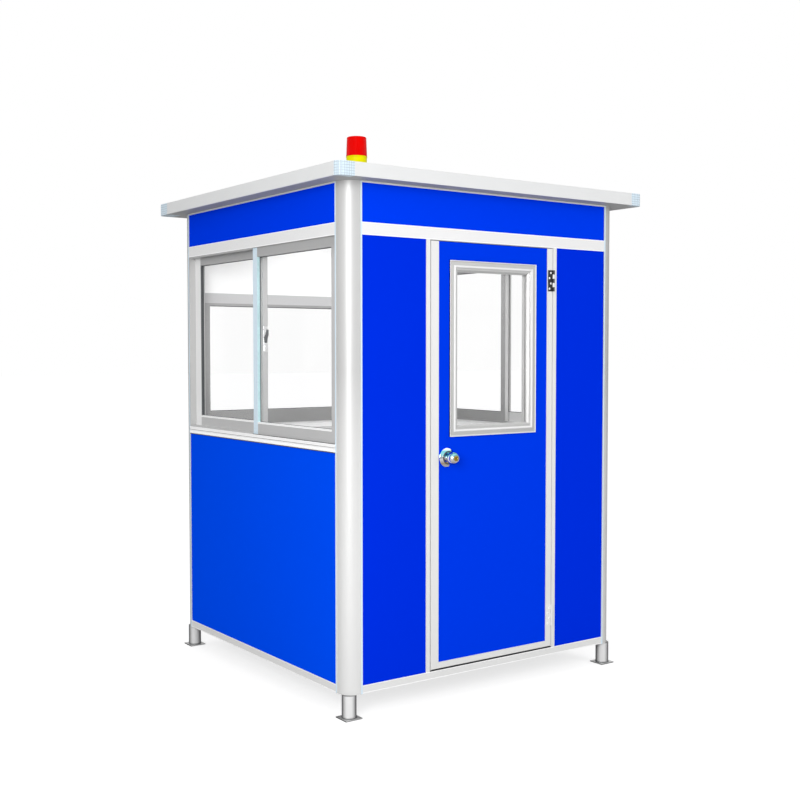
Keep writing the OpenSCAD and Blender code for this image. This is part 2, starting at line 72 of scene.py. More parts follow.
def colour(name, description, default):
    return bpy.props.FloatVectorProperty(
        name=name, description=description, subtype="COLOR", size=3, min=0, max=1, default=default
    )


def length(name, description, default):
    return bpy.props.FloatProperty(
        name=name, description=description, unit="LENGTH", min=0.0001, max=1, precision=4, default=default
    )


class BoothColours(bpy.types.PropertyGroup):
    """Colours of the booth's finishes"""

    wall_blue: colour("Wall blue", "Colour-coated steel of the lower walls", srgb(0, 78, 250))
    fascia_blue: colour("Fascia blue", "Colour-coated steel of the fascias", srgb(0, 60, 244))
    strip_blue: colour("Strip blue", "Colour-coated steel beside the door", srgb(0, 47, 227))
    door_blue: colour("Door blue", "Colour-coated steel of the door", srgb(0, 58, 236))
    lining_white: colour("Lining white", "Inner sheets of walls and door", srgb(242, 242, 242))
    # painted shade on the lining below the windows
    lining_low_shade: colour("Lining, low down", "Shade of the lining below the windows", srgb(208, 208, 208))
    rail_white: colour("Rail white", "Coated head rails", srgb(243, 243, 243))
    # painted shade: a darker tone for the room side of the head rails and for the door's inner sheet
    rail_shade: colour("Rail shade", "Bare aluminium on the room side of the head rails", srgb(206, 206, 207))
    roof_white: colour("Roof edge", "Coated edge of the roof", srgb(232, 233, 233))
    roof_grey: colour("Roof sheet", "Coated sheet of the roof", srgb(188, 188, 188))
    aluminium: colour("Aluminium", "Satin aluminium of posts, rails and jambs", srgb(240, 240, 239))
    post_grey: colour("Post aluminium", "Satin aluminium of the corner posts", srgb(236, 236, 235))
    # painted shade on the posts near the top and towards their outline
    post_top_shade: colour("Post shade", "Tone of the posts near the top", srgb(226, 226, 226))
    post_outline_shade: colour("Post edge", "Tone of the posts towards their outline", srgb(230, 230, 229))
    sash_grey: colour("Window aluminium", "Aluminium of frames and sashes", srgb(208, 208, 208))
    # painted shade: darker copies of the window aluminium under the head rails and on the room side
    sash_shade: colour("Window shade", "Darker aluminium under the head rails", srgb(224, 224, 224))
    sash_room_shade: colour("Window shade inside", "Darker aluminium on the room side", srgb(198, 198, 198))
    film_blue: colour("Pale film", "Pale blue film on lips and corner caps", srgb(222, 240, 252))
    film_cyan: colour("Cyan film", "Film on the side of the meeting stiles", srgb(206, 240, 245))
    mould_white: colour("Moulding", "Satin aluminium of the door window's moulding", srgb(204, 204, 203))
    # painted highlight: near-white for the glazing beads, sills, rail edges and hinge screws, which glow a
    # little
    bead_highlight_white: colour("Bright bead", "Polished beads of mouldings and sashes", srgb(252, 252, 252))
    # painted highlight: a lighter copy of the moulding aluminium for its lip and bead and for the far stile
    soft_bead_highlight: colour("Soft bead", "Satin beads of mouldings and stiles", srgb(244, 244, 244))
    seal_grey: colour("Door seal", "Pale brush seal round the door", srgb(212, 213, 213))
    chrome: colour("Chrome", "Knobs and rosettes", srgb(246, 246, 247))
    # painted reflection: the cool and warm casts on the knob set stand in for the surroundings mirrored in
    # the chrome
    chrome_cool_reflection: colour("Chrome, cool", "Cool cast on the upper half of the knob set", srgb(120, 205, 212))
    chrome_warm_reflection: colour("Chrome, warm", "Warm cast on the lower half of the knob set", srgb(222, 196, 160))
    foot_steel: colour("Foot steel", "Polished steel of the legs", srgb(250, 250, 250))
    # painted shade on the legs right under the posts and towards their outline
    foot_shade: colour("Foot shade", "Tops of the legs, right under the posts", srgb(110, 110, 112))
    hinge_black: colour("Hinge black", "Coated upper hinge", srgb(34, 34, 36))
    gasket_dark: colour("Gasket", "Rubber round the glass", srgb(84, 86, 88))
    latch_grey: colour("Latch grey", "Sash latches", srgb(96, 98, 100))
    floor_grey: colour("Floor sheet", "Vinyl sheet on the floor deck", srgb(176, 178, 180))
    beacon_red: colour("Beacon red", "Lens of the beacon", srgb(228, 2, 0))
    beacon_yellow: colour("Beacon yellow", "Base of the beacon", srgb(236, 230, 0))
    brass: colour("Brass", "Key cylinder", srgb(222, 186, 84))
    glass_tint: colour("Glass tint", "Faint tint of the float glass", srgb(254, 254, 254))
    stage_floor: colour("Studio floor", "Pale floor of the studio", srgb(196, 196, 197))


class BoothSizes(bpy.types.PropertyGroup):
    """Sizes of the trims and the small hardware"""

    strip_t: length("Strip thickness", "Thickness of film and cover strips", 0.0006)
    lip_w: length("Lip width", "Width of the film on a post's lips", 0.0076)
    bead_h: length("Glazing bead", "Height of the sloped glazing beads", 0.006)
    gasket_w: length("Gasket width", "Width of the rubber round the glass", 0.003)
    seal_w: length("Seal width", "Width of the door seals", 0.0024)
    screw_d: length("Screw", "Diameter of the hinge screws", 0.0096)
    rivet_d: length("Roof screw", "Diameter of the screws along the roof edge", 0.011)
    cylinder_d: length("Key cylinder", "Diameter of the key cylinder", 0.022)
    cap_rib: length("Cap rib pitch", "Pitch of the ribs on the corner caps", 0.0105)
    weld_w: length("Weld width", "Width of the weld round each leg", 0.0022)


class BoothStage(bpy.types.PropertyGroup):
    """Camera, lights and floor of the studio"""

    camera_at: bpy.props.FloatVectorProperty(
        name="Camera position", description="Where the camera stands", subtype="TRANSLATION",
        unit="LENGTH", size=3, default=(-3.1676, -4.5085, 1.4777),
    )
    camera_pitch: bpy.props.FloatProperty(
        name="Camera pitch", description="Tilt of the camera below the horizon", subtype="ANGLE",
        default=math.radians(2.494),
    )
    camera_heading: bpy.props.FloatProperty(
        name="Camera heading", description="Heading of the camera, clockwise from +Y",
        subtype="ANGLE", default=math.radians(35.483),
    )
    camera_lens: bpy.props.FloatProperty(
        name="Focal length", description="Focal length on a 36 mm sensor", min=20, max=200, default=51.19
    )
    sky_light: bpy.props.FloatProperty(
        name="Sky light", description="Strength of the even light from all round", min=0, max=5, default=0.6
    )
    key_power: bpy.props.FloatProperty(
        name="Key light", description="Power of the large soft light on the left", unit="POWER",
        min=0, max=5000, default=138,
    )
    fill_power: bpy.props.FloatProperty(
        name="Fill light", description="Power of the soft light in front", unit="POWER",
        min=0, max=5000, default=62,
    )
    room_power: bpy.props.FloatProperty(
        name="Room light", description="Power of the soft light under the ceiling", unit="POWER",
        min=0, max=500, default=9,
    )


def settings():
    scene = bpy.context.scene
    return scene.booth_colours, scene.booth_sizes, scene.booth_stage


# ---------------------------------------------------------------- shader groups


def new_group(name, inputs, outputs):
    """An empty node group with float, vector or colour sockets, and its two end nodes."""
    group = bpy.data.node_groups.new(name, "ShaderNodeTree")
    for label, kind, default in inputs:
        socket = group.interface.new_socket(label, in_out="INPUT", socket_type=kind)
        socket.default_value = default
    for label, kind in outputs:
        group.interface.new_socket(label, in_out="OUTPUT", socket_type=kind)
    return group, group.nodes.new("NodeGroupInput"), group.nodes.new("NodeGroupOutput")


def math_node(tree, operation, first, second=None, third=None, clamp=False):
    node = tree.nodes.new("ShaderNodeMath")
    node.operation = operation
    node.use_clamp = clamp
    for socket, value in zip(node.inputs, (first, second, third)):
        if value is None:
            continue
        if isinstance(value, (int, float)):
            socket.default_value = value
        else:
            tree.links.new(value, socket)
    return node.outputs[0]


def grain_group():
    """Fine stretched noise for brushing, orange peel and moulded grain."""
    name = "Booth grain"
    if name in bpy.data.node_groups:
        return bpy.data.node_groups[name]
    inputs = [
        ("Stretch", "NodeSocketVector", (1, 1, 1)),
        ("Scale", "NodeSocketFloat", 100.0),
        ("Low", "NodeSocketFloat", 0.0),
        ("High", "NodeSocketFloat", 1.0),
    ]
    group, start, end = new_group(name, inputs, [("Value", "NodeSocketFloat"), ("Raw", "NodeSocketFloat")])
    place = group.nodes.new("ShaderNodeTexCoord")
    stretch = group.nodes.new("ShaderNodeVectorMath")
    stretch.operation = "MULTIPLY"
    noise = group.nodes.new("ShaderNodeTexNoise")
    noise.inputs["Detail"].default_value = 3.0
    spread = group.nodes.new("ShaderNodeMapRange")
    spread.inputs["From Min"].default_value = 0.3
    spread.inputs["From Max"].default_value = 0.7
    link = group.links.new
    link(place.outputs["Object"], stretch.inputs[0])
    link(start.outputs["Stretch"], stretch.inputs[1])
    link(stretch.outputs[0], noise.inputs["Vector"])
    link(start.outputs["Scale"], noise.inputs["Scale"])
    link(noise.outputs["Fac"], spread.inputs["Value"])
    link(start.outputs["Low"], spread.inputs["To Min"])
    link(start.outputs["High"], spread.inputs["To Max"])
    link(spread.outputs["Result"], end.inputs["Value"])
    link(noise.outputs["Fac"], end.inputs["Raw"])
    return group


def weather_group():
    """A colour that drifts a little over the surface and takes on dust towards the ground."""
    name = "Booth weather"
    if name in bpy.data.node_groups:
        return bpy.data.node_groups[name]
    inputs = [
        ("Colour", "NodeSocketColor", (0.8, 0.8, 0.8, 1)),
        ("Drift", "NodeSocketFloat", 0.04),
        ("Drift scale", "NodeSocketFloat", 3.0),
        ("Dust", "NodeSocketFloat", 0.1),
        ("Dust height", "NodeSocketFloat", 0.4),
        ("Dust colour", "NodeSocketColor", (0.55, 0.53, 0.5, 1)),
    ]
    group, start, end = new_group(name, inputs, [("Colour", "NodeSocketColor"), ("Dust", "NodeSocketFloat")])
    place = group.nodes.new("ShaderNodeTexCoord")
    split = group.nodes.new("ShaderNodeSeparateXYZ")
    broad = group.nodes.new("ShaderNodeTexNoise")
    fine = group.nodes.new("ShaderNodeTexNoise")
    fine.inputs["Scale"].default_value = 60.0
    fine.inputs["Detail"].default_value = 4.0
    link = group.links.new
    link(place.outputs["Object"], broad.inputs["Vector"])
    link(place.outputs["Object"], fine.inputs["Vector"])
    link(place.outputs["Object"], split.inputs[0])
    link(start.outputs["Drift scale"], broad.inputs["Scale"])
    centred = math_node(group, "SUBTRACT", broad.outputs["Fac"], 0.5)
    swing = math_node(group, "MULTIPLY", centred, start.outputs["Drift"])
    value = math_node(group, "MULTIPLY_ADD", swing, 4.0, 1.0)
    shade = group.nodes.new("ShaderNodeHueSaturation")
    link(start.outputs["Colour"], shade.inputs["Color"])
    link(value, shade.inputs["Value"])
    fall = math_node(group, "DIVIDE", split.outputs["Z"], start.outputs["Dust height"])
    near_ground = math_node(group, "SUBTRACT", 1.0, fall, clamp=True)
    speckled = math_node(group, "MULTIPLY", near_ground, fine.outputs["Fac"])
    dust = math_node(group, "MULTIPLY", speckled, start.outputs["Dust"], clamp=True)
    mix = group.nodes.new("ShaderNodeMix")
    mix.data_type = "RGBA"
    link(dust, mix.inputs["Factor"])
    link(shade.outputs["Color"], mix.inputs["A"])
    link(start.outputs["Dust colour"], mix.inputs["B"])
    link(mix.outputs["Result"], end.inputs["Colour"])
    link(dust, end.inputs["Dust"])
    return group


def object_place(tree):
    """The surface's place in the booth's own frame, as X, Y and Z sockets."""
    place = tree.nodes.new("ShaderNodeTexCoord")
    split = tree.nodes.new("ShaderNodeSeparateXYZ")
    tree.links.new(place.outputs["Object"], split.inputs[0])
    return split.outputs


def tint_colour(material, amount, shade, blend="MULTIPLY"):
    """Lay a shade over a finish's colour, as far as the amount says; the shade may be a socket."""
    tree = material.node_tree
    colour_in = tree.nodes["Principled BSDF"].inputs["Base Color"]
    tint = tree.nodes.new("ShaderNodeMix")
    tint.data_type = "RGBA"
    tint.blend_type = blend
    tree.links.new(amount, tint.inputs["Factor"])
    tree.links.new(colour_in.links[0].from_socket, tint.inputs["A"])
    if isinstance(shade, bpy.types.NodeSocket):
        tree.links.new(shade, tint.inputs["B"])
    else:
        tint.inputs["B"].default_value = (*shade, 1)
    tree.links.new(tint.outputs["Result"], colour_in)
    return material


# ---------------------------------------------------------------- finishes


def use_group(tree, group, values):
    node = tree.nodes.new("ShaderNodeGroup")
    node.node_tree = group
    for label, value in values.items():
        node.inputs[label].default_value = value
    return node


def finish(name, base, rough=(0.35, 0.5), metal=0.0, specular=0.5, coat=0.0, grain=(1, 1, 1),
           grain_scale=120.0, bump=0.05, drift=0.03, drift_scale=3.0, dust=0.1, dust_height=0.35, glow=0.0):
    """A finish whose colour, roughness and relief all vary over the surface."""
    if name in bpy.data.materials:
        return bpy.data.materials[name]
    material = bpy.data.materials.new(name)
    material.use_nodes = True
    material.diffuse_color = (*base, 1)
    tree = material.node_tree
    shader = tree.nodes["Principled BSDF"]
    shader.inputs["Metallic"].default_value = metal
    shader.inputs["Specular IOR Level"].default_value = specular
    shader.inputs["Coat Weight"].default_value = coat
    shader.inputs["Coat Roughness"].default_value = 0.08
    weather = use_group(tree, weather_group(), {
        "Colour": (*base, 1), "Drift": drift, "Drift scale": drift_scale,
        "Dust": dust, "Dust height": dust_height,
    })
    texture = use_group(tree, grain_group(), {
        "Stretch": grain, "Scale": grain_scale, "Low": rough[0], "High": rough[1],
    })
    relief = tree.nodes.new("ShaderNodeBump")
    relief.inputs["Strength"].default_value = bump
    relief.inputs["Distance"].default_value = 0.0005
    link = tree.links.new
    link(weather.outputs["Colour"], shader.inputs["Base Color"])
    link(texture.outputs["Value"], shader.inputs["Roughness"])
    link(texture.outputs["Raw"], relief.inputs["Height"])
    link(relief.outputs["Normal"], shader.inputs["Normal"])
    # glow paints light into a finish: it emits its own colour, though it is no lamp
    if glow:
        shader.inputs["Emission Strength"].default_value = glow
        link(weather.outputs["Colour"], shader.inputs["Emission Color"])
    return material


def blue_finish(name, base):
    """Colour-coated steel that throws back neutral light, so that it does not stain its neighbours."""
    if name in bpy.data.materials:
        return bpy.data.materials[name]
    material = finish(name, base, (0.28, 0.4), specular=0.0, grain_scale=220, bump=0.03, drift=0.012,
                      drift_scale=0.9, dust=0.0)
    tree = material.node_tree
    paths = tree.nodes.new("ShaderNodeLightPath")
    plain = tree.nodes.new("ShaderNodeBsdfDiffuse")
    plain.name = "Plain bounce"
    plain.inputs["Color"].default_value = (0.2, 0.2, 0.2, 1)
    choose = tree.nodes.new("ShaderNodeMixShader")
    link = tree.links.new
    link(paths.outputs["Is Diffuse Ray"], choose.inputs["Fac"])
    link(tree.nodes["Principled BSDF"].outputs["BSDF"], choose.inputs[1])
    link(plain.outputs["BSDF"], choose.inputs[2])
    link(choose.outputs["Shader"], tree.nodes["Material Output"].inputs["Surface"])
    return material


def glass_finish(name, tint):
    """Clear float glass that lets daylight into the cabin."""
    if name in bpy.data.materials:
        return bpy.data.materials[name]
    material = finish(name, tint, rough=(0.0, 0.02), specular=0.15, bump=0.01, drift=0.004, dust=0.0)
    tree = material.node_tree
    shader = tree.nodes["Principled BSDF"]
    shader.inputs["Transmission Weight"].default_value = 1.0
    shader.inputs["IOR"].default_value = 1.12
    paths = tree.nodes.new("ShaderNodeLightPath")
    clear = tree.nodes.new("ShaderNodeBsdfTransparent")
    clear.inputs["Color"].default_value = (*tint, 1)
    choose = tree.nodes.new("ShaderNodeMixShader")
    passes = math_node(tree, "MAXIMUM", paths.outputs["Is Shadow Ray"], paths.outputs["Is Diffuse Ray"])
    link = tree.links.new
    link(passes, choose.inputs["Fac"])
    link(shader.outputs["BSDF"], choose.inputs[1])
    link(clear.outputs["BSDF"], choose.inputs[2])
    link(choose.outputs["Shader"], tree.nodes["Material Output"].inputs["Surface"])
    return material


def cap_finish(base):
    """Pale moulded plastic of the corner caps, with painted shade in a fine grid of lines between its ribs.
    """
    name = "Ribbed cap plastic"
    if name in bpy.data.materials:
        return bpy.data.materials[name]
    material = finish(name, base, rough=(0.3, 0.45), specular=0.4, bump=0.05, drift=0.05, dust=0.0)
    tree = material.node_tree
    pitch = settings()[1].cap_rib
    # painted shade: darker lines stand in for the shade between the ribs
    line_share, groove_shade_tone, line_amount = 0.22, 0.62, 0.8
    place = object_place(tree)
    lines = None
    for axis in "XYZ":
        part = math_node(tree, "FRACT", math_node(tree, "DIVIDE", place[axis], pitch))
        line = math_node(tree, "LESS_THAN", part, line_share)
        lines = line if lines is None else math_node(tree, "MAXIMUM", lines, line)
    amount = math_node(tree, "MULTIPLY", lines, line_amount)
    return tint_colour(material, amount, tuple(groove_shade_tone * part for part in base), "MIX")


def blend_by_height(material, stops):
    """Multiply shades over a finish by height: stops are (height in metres, shade, amount)."""
    tree = material.node_tree
    low, high = stops[0][0], stops[-1][0]
    above = math_node(tree, "SUBTRACT", object_place(tree)["Z"], low)
    ramp = tree.nodes.new("ShaderNodeValToRGB")
    marks = ramp.color_ramp.elements
    while len(marks) < len(stops):
        marks.new(0.5)
    for mark, (height, shade, amount) in zip(marks, stops):
        mark.position = (height - low) / (high - low)
        mark.color = (*shade, amount)
    tree.links.new(math_node(tree, "DIVIDE", above, high - low, clamp=True), ramp.inputs["Fac"])
    return tint_colour(material, ramp.outputs["Alpha"], ramp.outputs["Color"])


def chrome_finish(name, base, cool, warm):
    """Bright chrome of the knob set, with a painted cool reflection above its middle and a painted warm
    reflection below.
    """
    if name in bpy.data.materials:
        return bpy.data.materials[name]
    material = finish(name, base, (0.05, 0.12), metal=1.0, bump=0.01, drift=0.02, dust=0.0)
    low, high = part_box("knob_rosettes")
    middle, reach = (low.z + high.z) / 2, (high.z - low.z) / 2
    # painted reflection: cool tint above the middle, warm tint below
    return blend_by_height(material, [
        (middle - reach, WHITE, 0.0), (middle - 0.62 * reach, warm, 1.0), (middle - 0.1 * reach, WHITE, 0.0),
        (middle + 0.25 * reach, cool, 0.8), (middle + 0.7 * reach, cool, 1.0), (middle + reach, WHITE, 0.2),
    ])


def sash_finish(name, base, shade, inner):
    """Window aluminium, with painted shade under the head rail and on the room side."""
    if name in bpy.data.materials:
        return bpy.data.materials[name]
    material = finish(name, base, (0.34, 0.46), metal=0.3, specular=0.4, grain=ALONG_Z, grain_scale=600,
                      bump=0.04, drift=0.02, dust=0.0)
    head_shadow, head_start, room_depth = 30 * MM, 120 * MM, 53.5 * MM
    low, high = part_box("outer_sash_left")
    # painted shade under the head rail
    blend_by_height(material, [
        (low.z, WHITE, 0.0), (high.z - head_start, WHITE, 0.0), (high.z - head_shadow, shade, 1.0),
        (high.z, shade, 1.0),
    ])
    # painted shade on the room side
    return shade_inside(material, room_depth, inner, "X")


def shade_inside(material, depth, shade, axes="XY"):
    """Multiply a painted shade over the colour wherever the surface lies deeper than this inside the walls'
    faces.
    """
    tree = material.node_tree
    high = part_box("head_rails")[1]
    place = object_place(tree)
    reach = None
    for axis in axes:
        gap = math_node(tree, "SUBTRACT", high["XYZ".index(axis)], math_node(tree, "ABSOLUTE", place[axis]))
        reach = gap if reach is None else math_node(tree, "MINIMUM", reach, gap)
    return tint_colour(material, math_node(tree, "GREATER_THAN", reach, depth), shade)


def edge_shade(material, shade, start, reach):
    """Paint shade on a round upright bar towards its outline, as polished metal looks in a bright room."""
    tree = material.node_tree
    facing = tree.nodes.new("ShaderNodeLayerWeight")
    surface = tree.nodes.new("ShaderNodeNewGeometry")
    split = tree.nodes.new("ShaderNodeSeparateXYZ")
    tree.links.new(surface.outputs["Normal"], split.inputs[0])
    tilt_limit = 0.5
    upright = math_node(tree, "LESS_THAN", math_node(tree, "ABSOLUTE", split.outputs["Z"]), tilt_limit)
    past = math_node(tree, "SUBTRACT", facing.outputs["Facing"], start)
    turned = math_node(tree, "DIVIDE", past, reach, clamp=True)
    return tint_colour(material, math_node(tree, "MULTIPLY", turned, upright), shade)


def post_finish(name, base, high_shade, edge):
    """Satin posts with painted shade near the top, where the large light is close, and towards their outline.
    """
    if name in bpy.data.materials:
        return bpy.data.materials[name]
    material = finish(name, base, (0.38, 0.46), metal=0.25, specular=0.25, grain=ALONG_Z, grain_scale=700,
                      bump=0.05, drift=0.012, dust=0.0)
    low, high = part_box("corner_posts")
    blend_by_height(material, [
        (low.z, WHITE, 0.0), (0.3 * high.z, WHITE, 0.0), (0.65 * high.z, high_shade, 1.0),
        (high.z, high_shade, 1.0),
    ])
    return edge_shade(material, edge, 0.12, 0.6)


def lining_finish(name, base, low_shade):
    """Inner sheets with painted shade below the window sills and a faint painted glow all over."""
    if name in bpy.data.materials:
        return bpy.data.materials[name]
    # painted light: the lining glows faintly
    material = finish(name, base, (0.4, 0.55), specular=0.3, grain_scale=180, bump=0.03, drift=0.01,
                      dust=0.05, glow=0.14)
    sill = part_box("window_sills")[1].z
    fade = 80 * MM
    return blend_by_height(material, [
        (0.0, low_shade, 1.0), (sill, low_shade, 1.0), (sill + fade, WHITE, 0.0), (2 * sill, WHITE, 0.0),
    ])


def foot_finish(name, base, shade):
    """Polished legs with painted shade right under the posts and towards their outline; the plates darker."""
    if name in bpy.data.materials:
        return bpy.data.materials[name]
    material = finish(name, base, (0.3, 0.36), metal=0.3, grain=ALONG_Z, grain_scale=500, bump=0.02,
                      drift=0.02, dust=0.0)
    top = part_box("feet")[1].z
    plate = 0.08 * top
    rim, line = 4 * MM, 0.5 * MM
    # painted shade right under the posts; the plates darker
    blend_by_height(material, [
        (0.0, shade, 0.5), (plate, shade, 0.5), (2 * plate, WHITE, 0.0),
        (top - rim, WHITE, 0.0), (top - line, shade, 1.0), (top, shade, 1.0),
    ])
    return edge_shade(material, shade, 0.1, 0.45)


def rail_finish(name, outer, inner):
    """Head rails: white coating on the outer faces, with painted shade on the faces inside the cabin."""
    if name in bpy.data.materials:
        return bpy.data.materials[name]
    material = finish(name, outer, (0.25, 0.4), specular=0.4, grain_scale=200, bump=0.02, drift=0.01,
                      dust=0.0)
    coated_depth = 48 * MM
    return shade_inside(material, coated_depth, inner)


def make_finishes():
    """Every finish by its short name."""
    c = settings()[0]
    return {
        "wall": blue_finish("Blue wall steel", c.wall_blue),
        "fascia": blue_finish("Blue fascia steel", c.fascia_blue),
        "strip": blue_finish("Blue strip steel", c.strip_blue),
        "door": blue_finish("Blue door steel", c.door_blue),
        "lining": lining_finish("White lining steel", c.lining_white, c.lining_low_shade),
        # painted shade: the door's inner sheet takes the darker room-side tone
        "door_back": finish("White door steel", c.rail_shade, (0.4, 0.55), specular=0.3, grain_scale=180,
                            bump=0.03, drift=0.01, dust=0.05),
        "head": rail_finish("White coated rail", c.rail_white, c.rail_shade),
        "roof_edge": finish("White roof edge", c.roof_white, (0.35, 0.5), specular=0.3, grain_scale=160,
                            bump=0.03, drift=0.02, dust=0.0),
        "roof": finish("Grey roof sheet", c.roof_grey, (0.4, 0.6), specular=0.3, grain_scale=90, bump=0.06,
                       drift=0.05, drift_scale=2.0, dust=0.0),
        "post": post_finish("Satin post aluminium", c.post_grey, c.post_top_shade, c.post_outline_shade),
        "frame": finish("Satin frame aluminium", c.aluminium, (0.4, 0.5), metal=0.15, specular=0.4,
                        grain=ALONG_Z, grain_scale=600, bump=0.04, drift=0.015, dust=0.0),
        "sash": sash_finish("Window aluminium", c.sash_grey, c.sash_shade, c.sash_room_shade),
        "mould": finish("Moulding aluminium", c.mould_white, (0.28, 0.4), metal=0.35, specular=0.5,
                        grain_scale=300, bump=0.03, drift=0.015, dust=0.0),
        # painted highlight: bright beads that glow a little
        "bead": finish("Bright bead", c.bead_highlight_white, (0.3, 0.4), metal=0.05, specular=0.5, grain_scale=300,
                       bump=0.02, drift=0.01, dust=0.0, glow=0.12),
        # painted highlight: lighter copy of the moulding aluminium
        "soft": finish("Soft bead", c.soft_bead_highlight, (0.3, 0.4), metal=0.05, specular=0.5, grain_scale=300,
                       bump=0.02, drift=0.01, dust=0.0),
        "seal": finish("Door seal", c.seal_grey, (0.6, 0.8), specular=0.3, grain_scale=600, bump=0.08,
                       drift=0.03, dust=0.05),
        "film": finish("Pale film", c.film_blue, (0.25, 0.4), specular=0.4, bump=0.02, drift=0.02, dust=0.0),
        "cyan": finish("Cyan film", c.film_cyan, (0.2, 0.35), specular=0.4, bump=0.02, drift=0.08,
                       drift_scale=30, dust=0.0),
        "cap": cap_finish(c.film_blue),
        "chrome": chrome_finish("Bright chrome", c.chrome, c.chrome_cool_reflection, c.chrome_warm_reflection),
        "foot": foot_finish("Polished foot steel", c.foot_steel, c.foot_shade),
        "black": finish("Black coated steel", c.hinge_black, (0.3, 0.5), specular=0.5, grain_scale=400,
                        bump=0.08, drift=0.05, dust=0.0),
        "steel": finish("Bright screw steel", c.chrome, (0.15, 0.25), metal=1.0, bump=0.02, drift=0.02,
                        dust=0.0),
        "gasket": finish("Gasket rubber", c.gasket_dark, (0.6, 0.8), specular=0.3, grain_scale=900, bump=0.1,
                         drift=0.05, dust=0.0),
        "latch": finish("Latch moulding", c.latch_grey, (0.35, 0.5), specular=0.4, grain_scale=500,
                        bump=0.06, drift=0.04, dust=0.0),
        "floor": finish("Vinyl floor sheet", c.floor_grey, (0.45, 0.65), specular=0.3, grain_scale=350,
                        bump=0.1, drift=0.06, drift_scale=9.0, dust=0.0),
        "red": finish("Red lens", c.beacon_red, (0.2, 0.3), specular=0.05, grain=(1, 1, 0.05),
                      grain_scale=120, bump=0.08, drift=0.05, drift_scale=30, dust=0.0),
        "yellow": finish("Yellow moulding", c.beacon_yellow, (0.3, 0.42), specular=0.05, grain_scale=300,
                         bump=0.04, drift=0.04, drift_scale=30, dust=0.0),
        "brass": finish("Brass", c.brass, (0.15, 0.25), metal=1.0, bump=0.02, drift=0.04, dust=0.0),
        "glass": glass_finish("Float glass", c.glass_tint),
    }


# ---------------------------------------------------------------- mesh helpers

CORNERS = [(1, 1), (1, -1), (-1, 1), (-1, -1)]
ON_AXIS = 1e-7


def in_mm(*pairs):
    """Points given in millimetres, as points in metres."""
    return [(first * MM, second * MM) for first, second in pairs]


def make_piece(name, body, material, build, sharp_angle=35):
    """A new mesh piece in the booth's own frame, filled in by build(bm), that rides on a body."""
    bm = bmesh.new()
    build(bm)
    bmesh.ops.recalc_face_normals(bm, faces=bm.faces)
    mesh = bpy.data.meshes.new(name)
    bm.to_mesh(mesh)
    bm.free()
    mesh.polygons.foreach_set("use_smooth", [True] * len(mesh.polygons))
    mesh.set_sharp_from_angle(angle=math.radians(sharp_angle))
    mesh.materials.append(material)
    piece = bpy.data.objects.new(name, mesh)
    bpy.context.scene.collection.objects.link(piece)
    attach(piece, body)
    return piece


def add_box(bm, low, high, bevel=0.0):
    """A box between two corners, with its edges rounded."""
    low, high = Vector(low), Vector(high)
    verts = bmesh.ops.create_cube(bm, size=1.0)["verts"]
    size = high - low
    bmesh.ops.scale(bm, vec=size, verts=verts)
    bmesh.ops.translate(bm, vec=(low + high) / 2, verts=verts)
    if bevel:
        edges = list({edge for vert in verts for edge in vert.link_edges})
        most = min(size) * 0.45
        bmesh.ops.bevel(bm, geom=edges, offset=min(bevel, most), segments=2, affect="EDGES")


def add_lathe(bm, profile, place, segments=48):
    """A profile of (radius, height) turned about the Z axis of a placing matrix."""
    rings = []
    for radius, height in profile:
        if radius < ON_AXIS:
            rings.append([bm.verts.new(place @ Vector((0, 0, height)))])
            continue
        ring = []
        for step in range(segments):
            angle = 2 * math.pi * step / segments
            point = Vector((radius * math.cos(angle), radius * math.sin(angle), height))
            ring.append(bm.verts.new(place @ point))
        rings.append(ring)
    for lower, upper in zip(rings, rings[1:]):
        for step in range(segments):
            after = (step + 1) % segments
            corners = [lower[step % len(lower)], lower[after % len(lower)],
                       upper[after % len(upper)], upper[step % len(upper)]]
            unique = list(dict.fromkeys(corners))
            if len(unique) > 2:
                bm.faces.new(unique)


def add_mitred_ring(bm, low, high, profile, to_world):
    """A closed profile of (inset, depth) carried round an upright rectangle, mitred at its corners."""
    corners = [(low[0], low[1], 1, 1), (high[0], low[1], -1, 1),
               (high[0], high[1], -1, -1), (low[0], high[1], 1, -1)]
    loops = []
    for along, up, turn_along, turn_up in corners:
        loops.append([bm.verts.new(to_world(along + inset * turn_along, depth, up + inset * turn_up))
                      for inset, depth in profile])
    count = len(profile)
    for corner in range(4):
        here, there = loops[corner], loops[(corner + 1) % 4]
        for step in range(count):
            after = (step + 1) % count
            bm.faces.new([here[step], there[step], there[after], here[after]])


def add_prism(bm, outline, low, high, to_world):
    """A closed (x, y) outline stretched between two heights."""
    bottom = [bm.verts.new(to_world(x, y, low)) for x, y in outline]
    top = [bm.verts.new(to_world(x, y, high)) for x, y in outline]
    bm.faces.new(bottom)
    bm.faces.new(top)
    for step in range(len(outline)):
        after = (step + 1) % len(outline)
        bm.faces.new([bottom[step], bottom[after], top[after], top[step]])


def arc(centre, radius, start, end, steps):
    """Points on an arc, with angles in degrees."""
    points = []
    for step in range(steps + 1):
        angle = math.radians(start + (end - start) * step / steps)
        points.append((centre[0] + radius * math.cos(angle), centre[1] + radius * math.sin(angle)))
    return points


def levels(node, axis):
    """The distinct places of a node's corners along an axis, from low to high, in metres."""
    return sorted({round(vert.co[axis], 4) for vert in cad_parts[node].data.vertices})


def wall_face(side):
    """Turns (along, depth, up) on one wall into a place in the booth's frame."""
    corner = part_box("corner_posts")[0]
    return {
        "left": lambda along, depth, up: (corner.x + depth, along, up),
        "right": lambda along, depth, up: (-corner.x - depth, along, up),
        "rear": lambda along, depth, up: (along, -corner.y - depth, up),
        "front": lambda along, depth, up: (along, corner.y + depth, up),
    }[side]


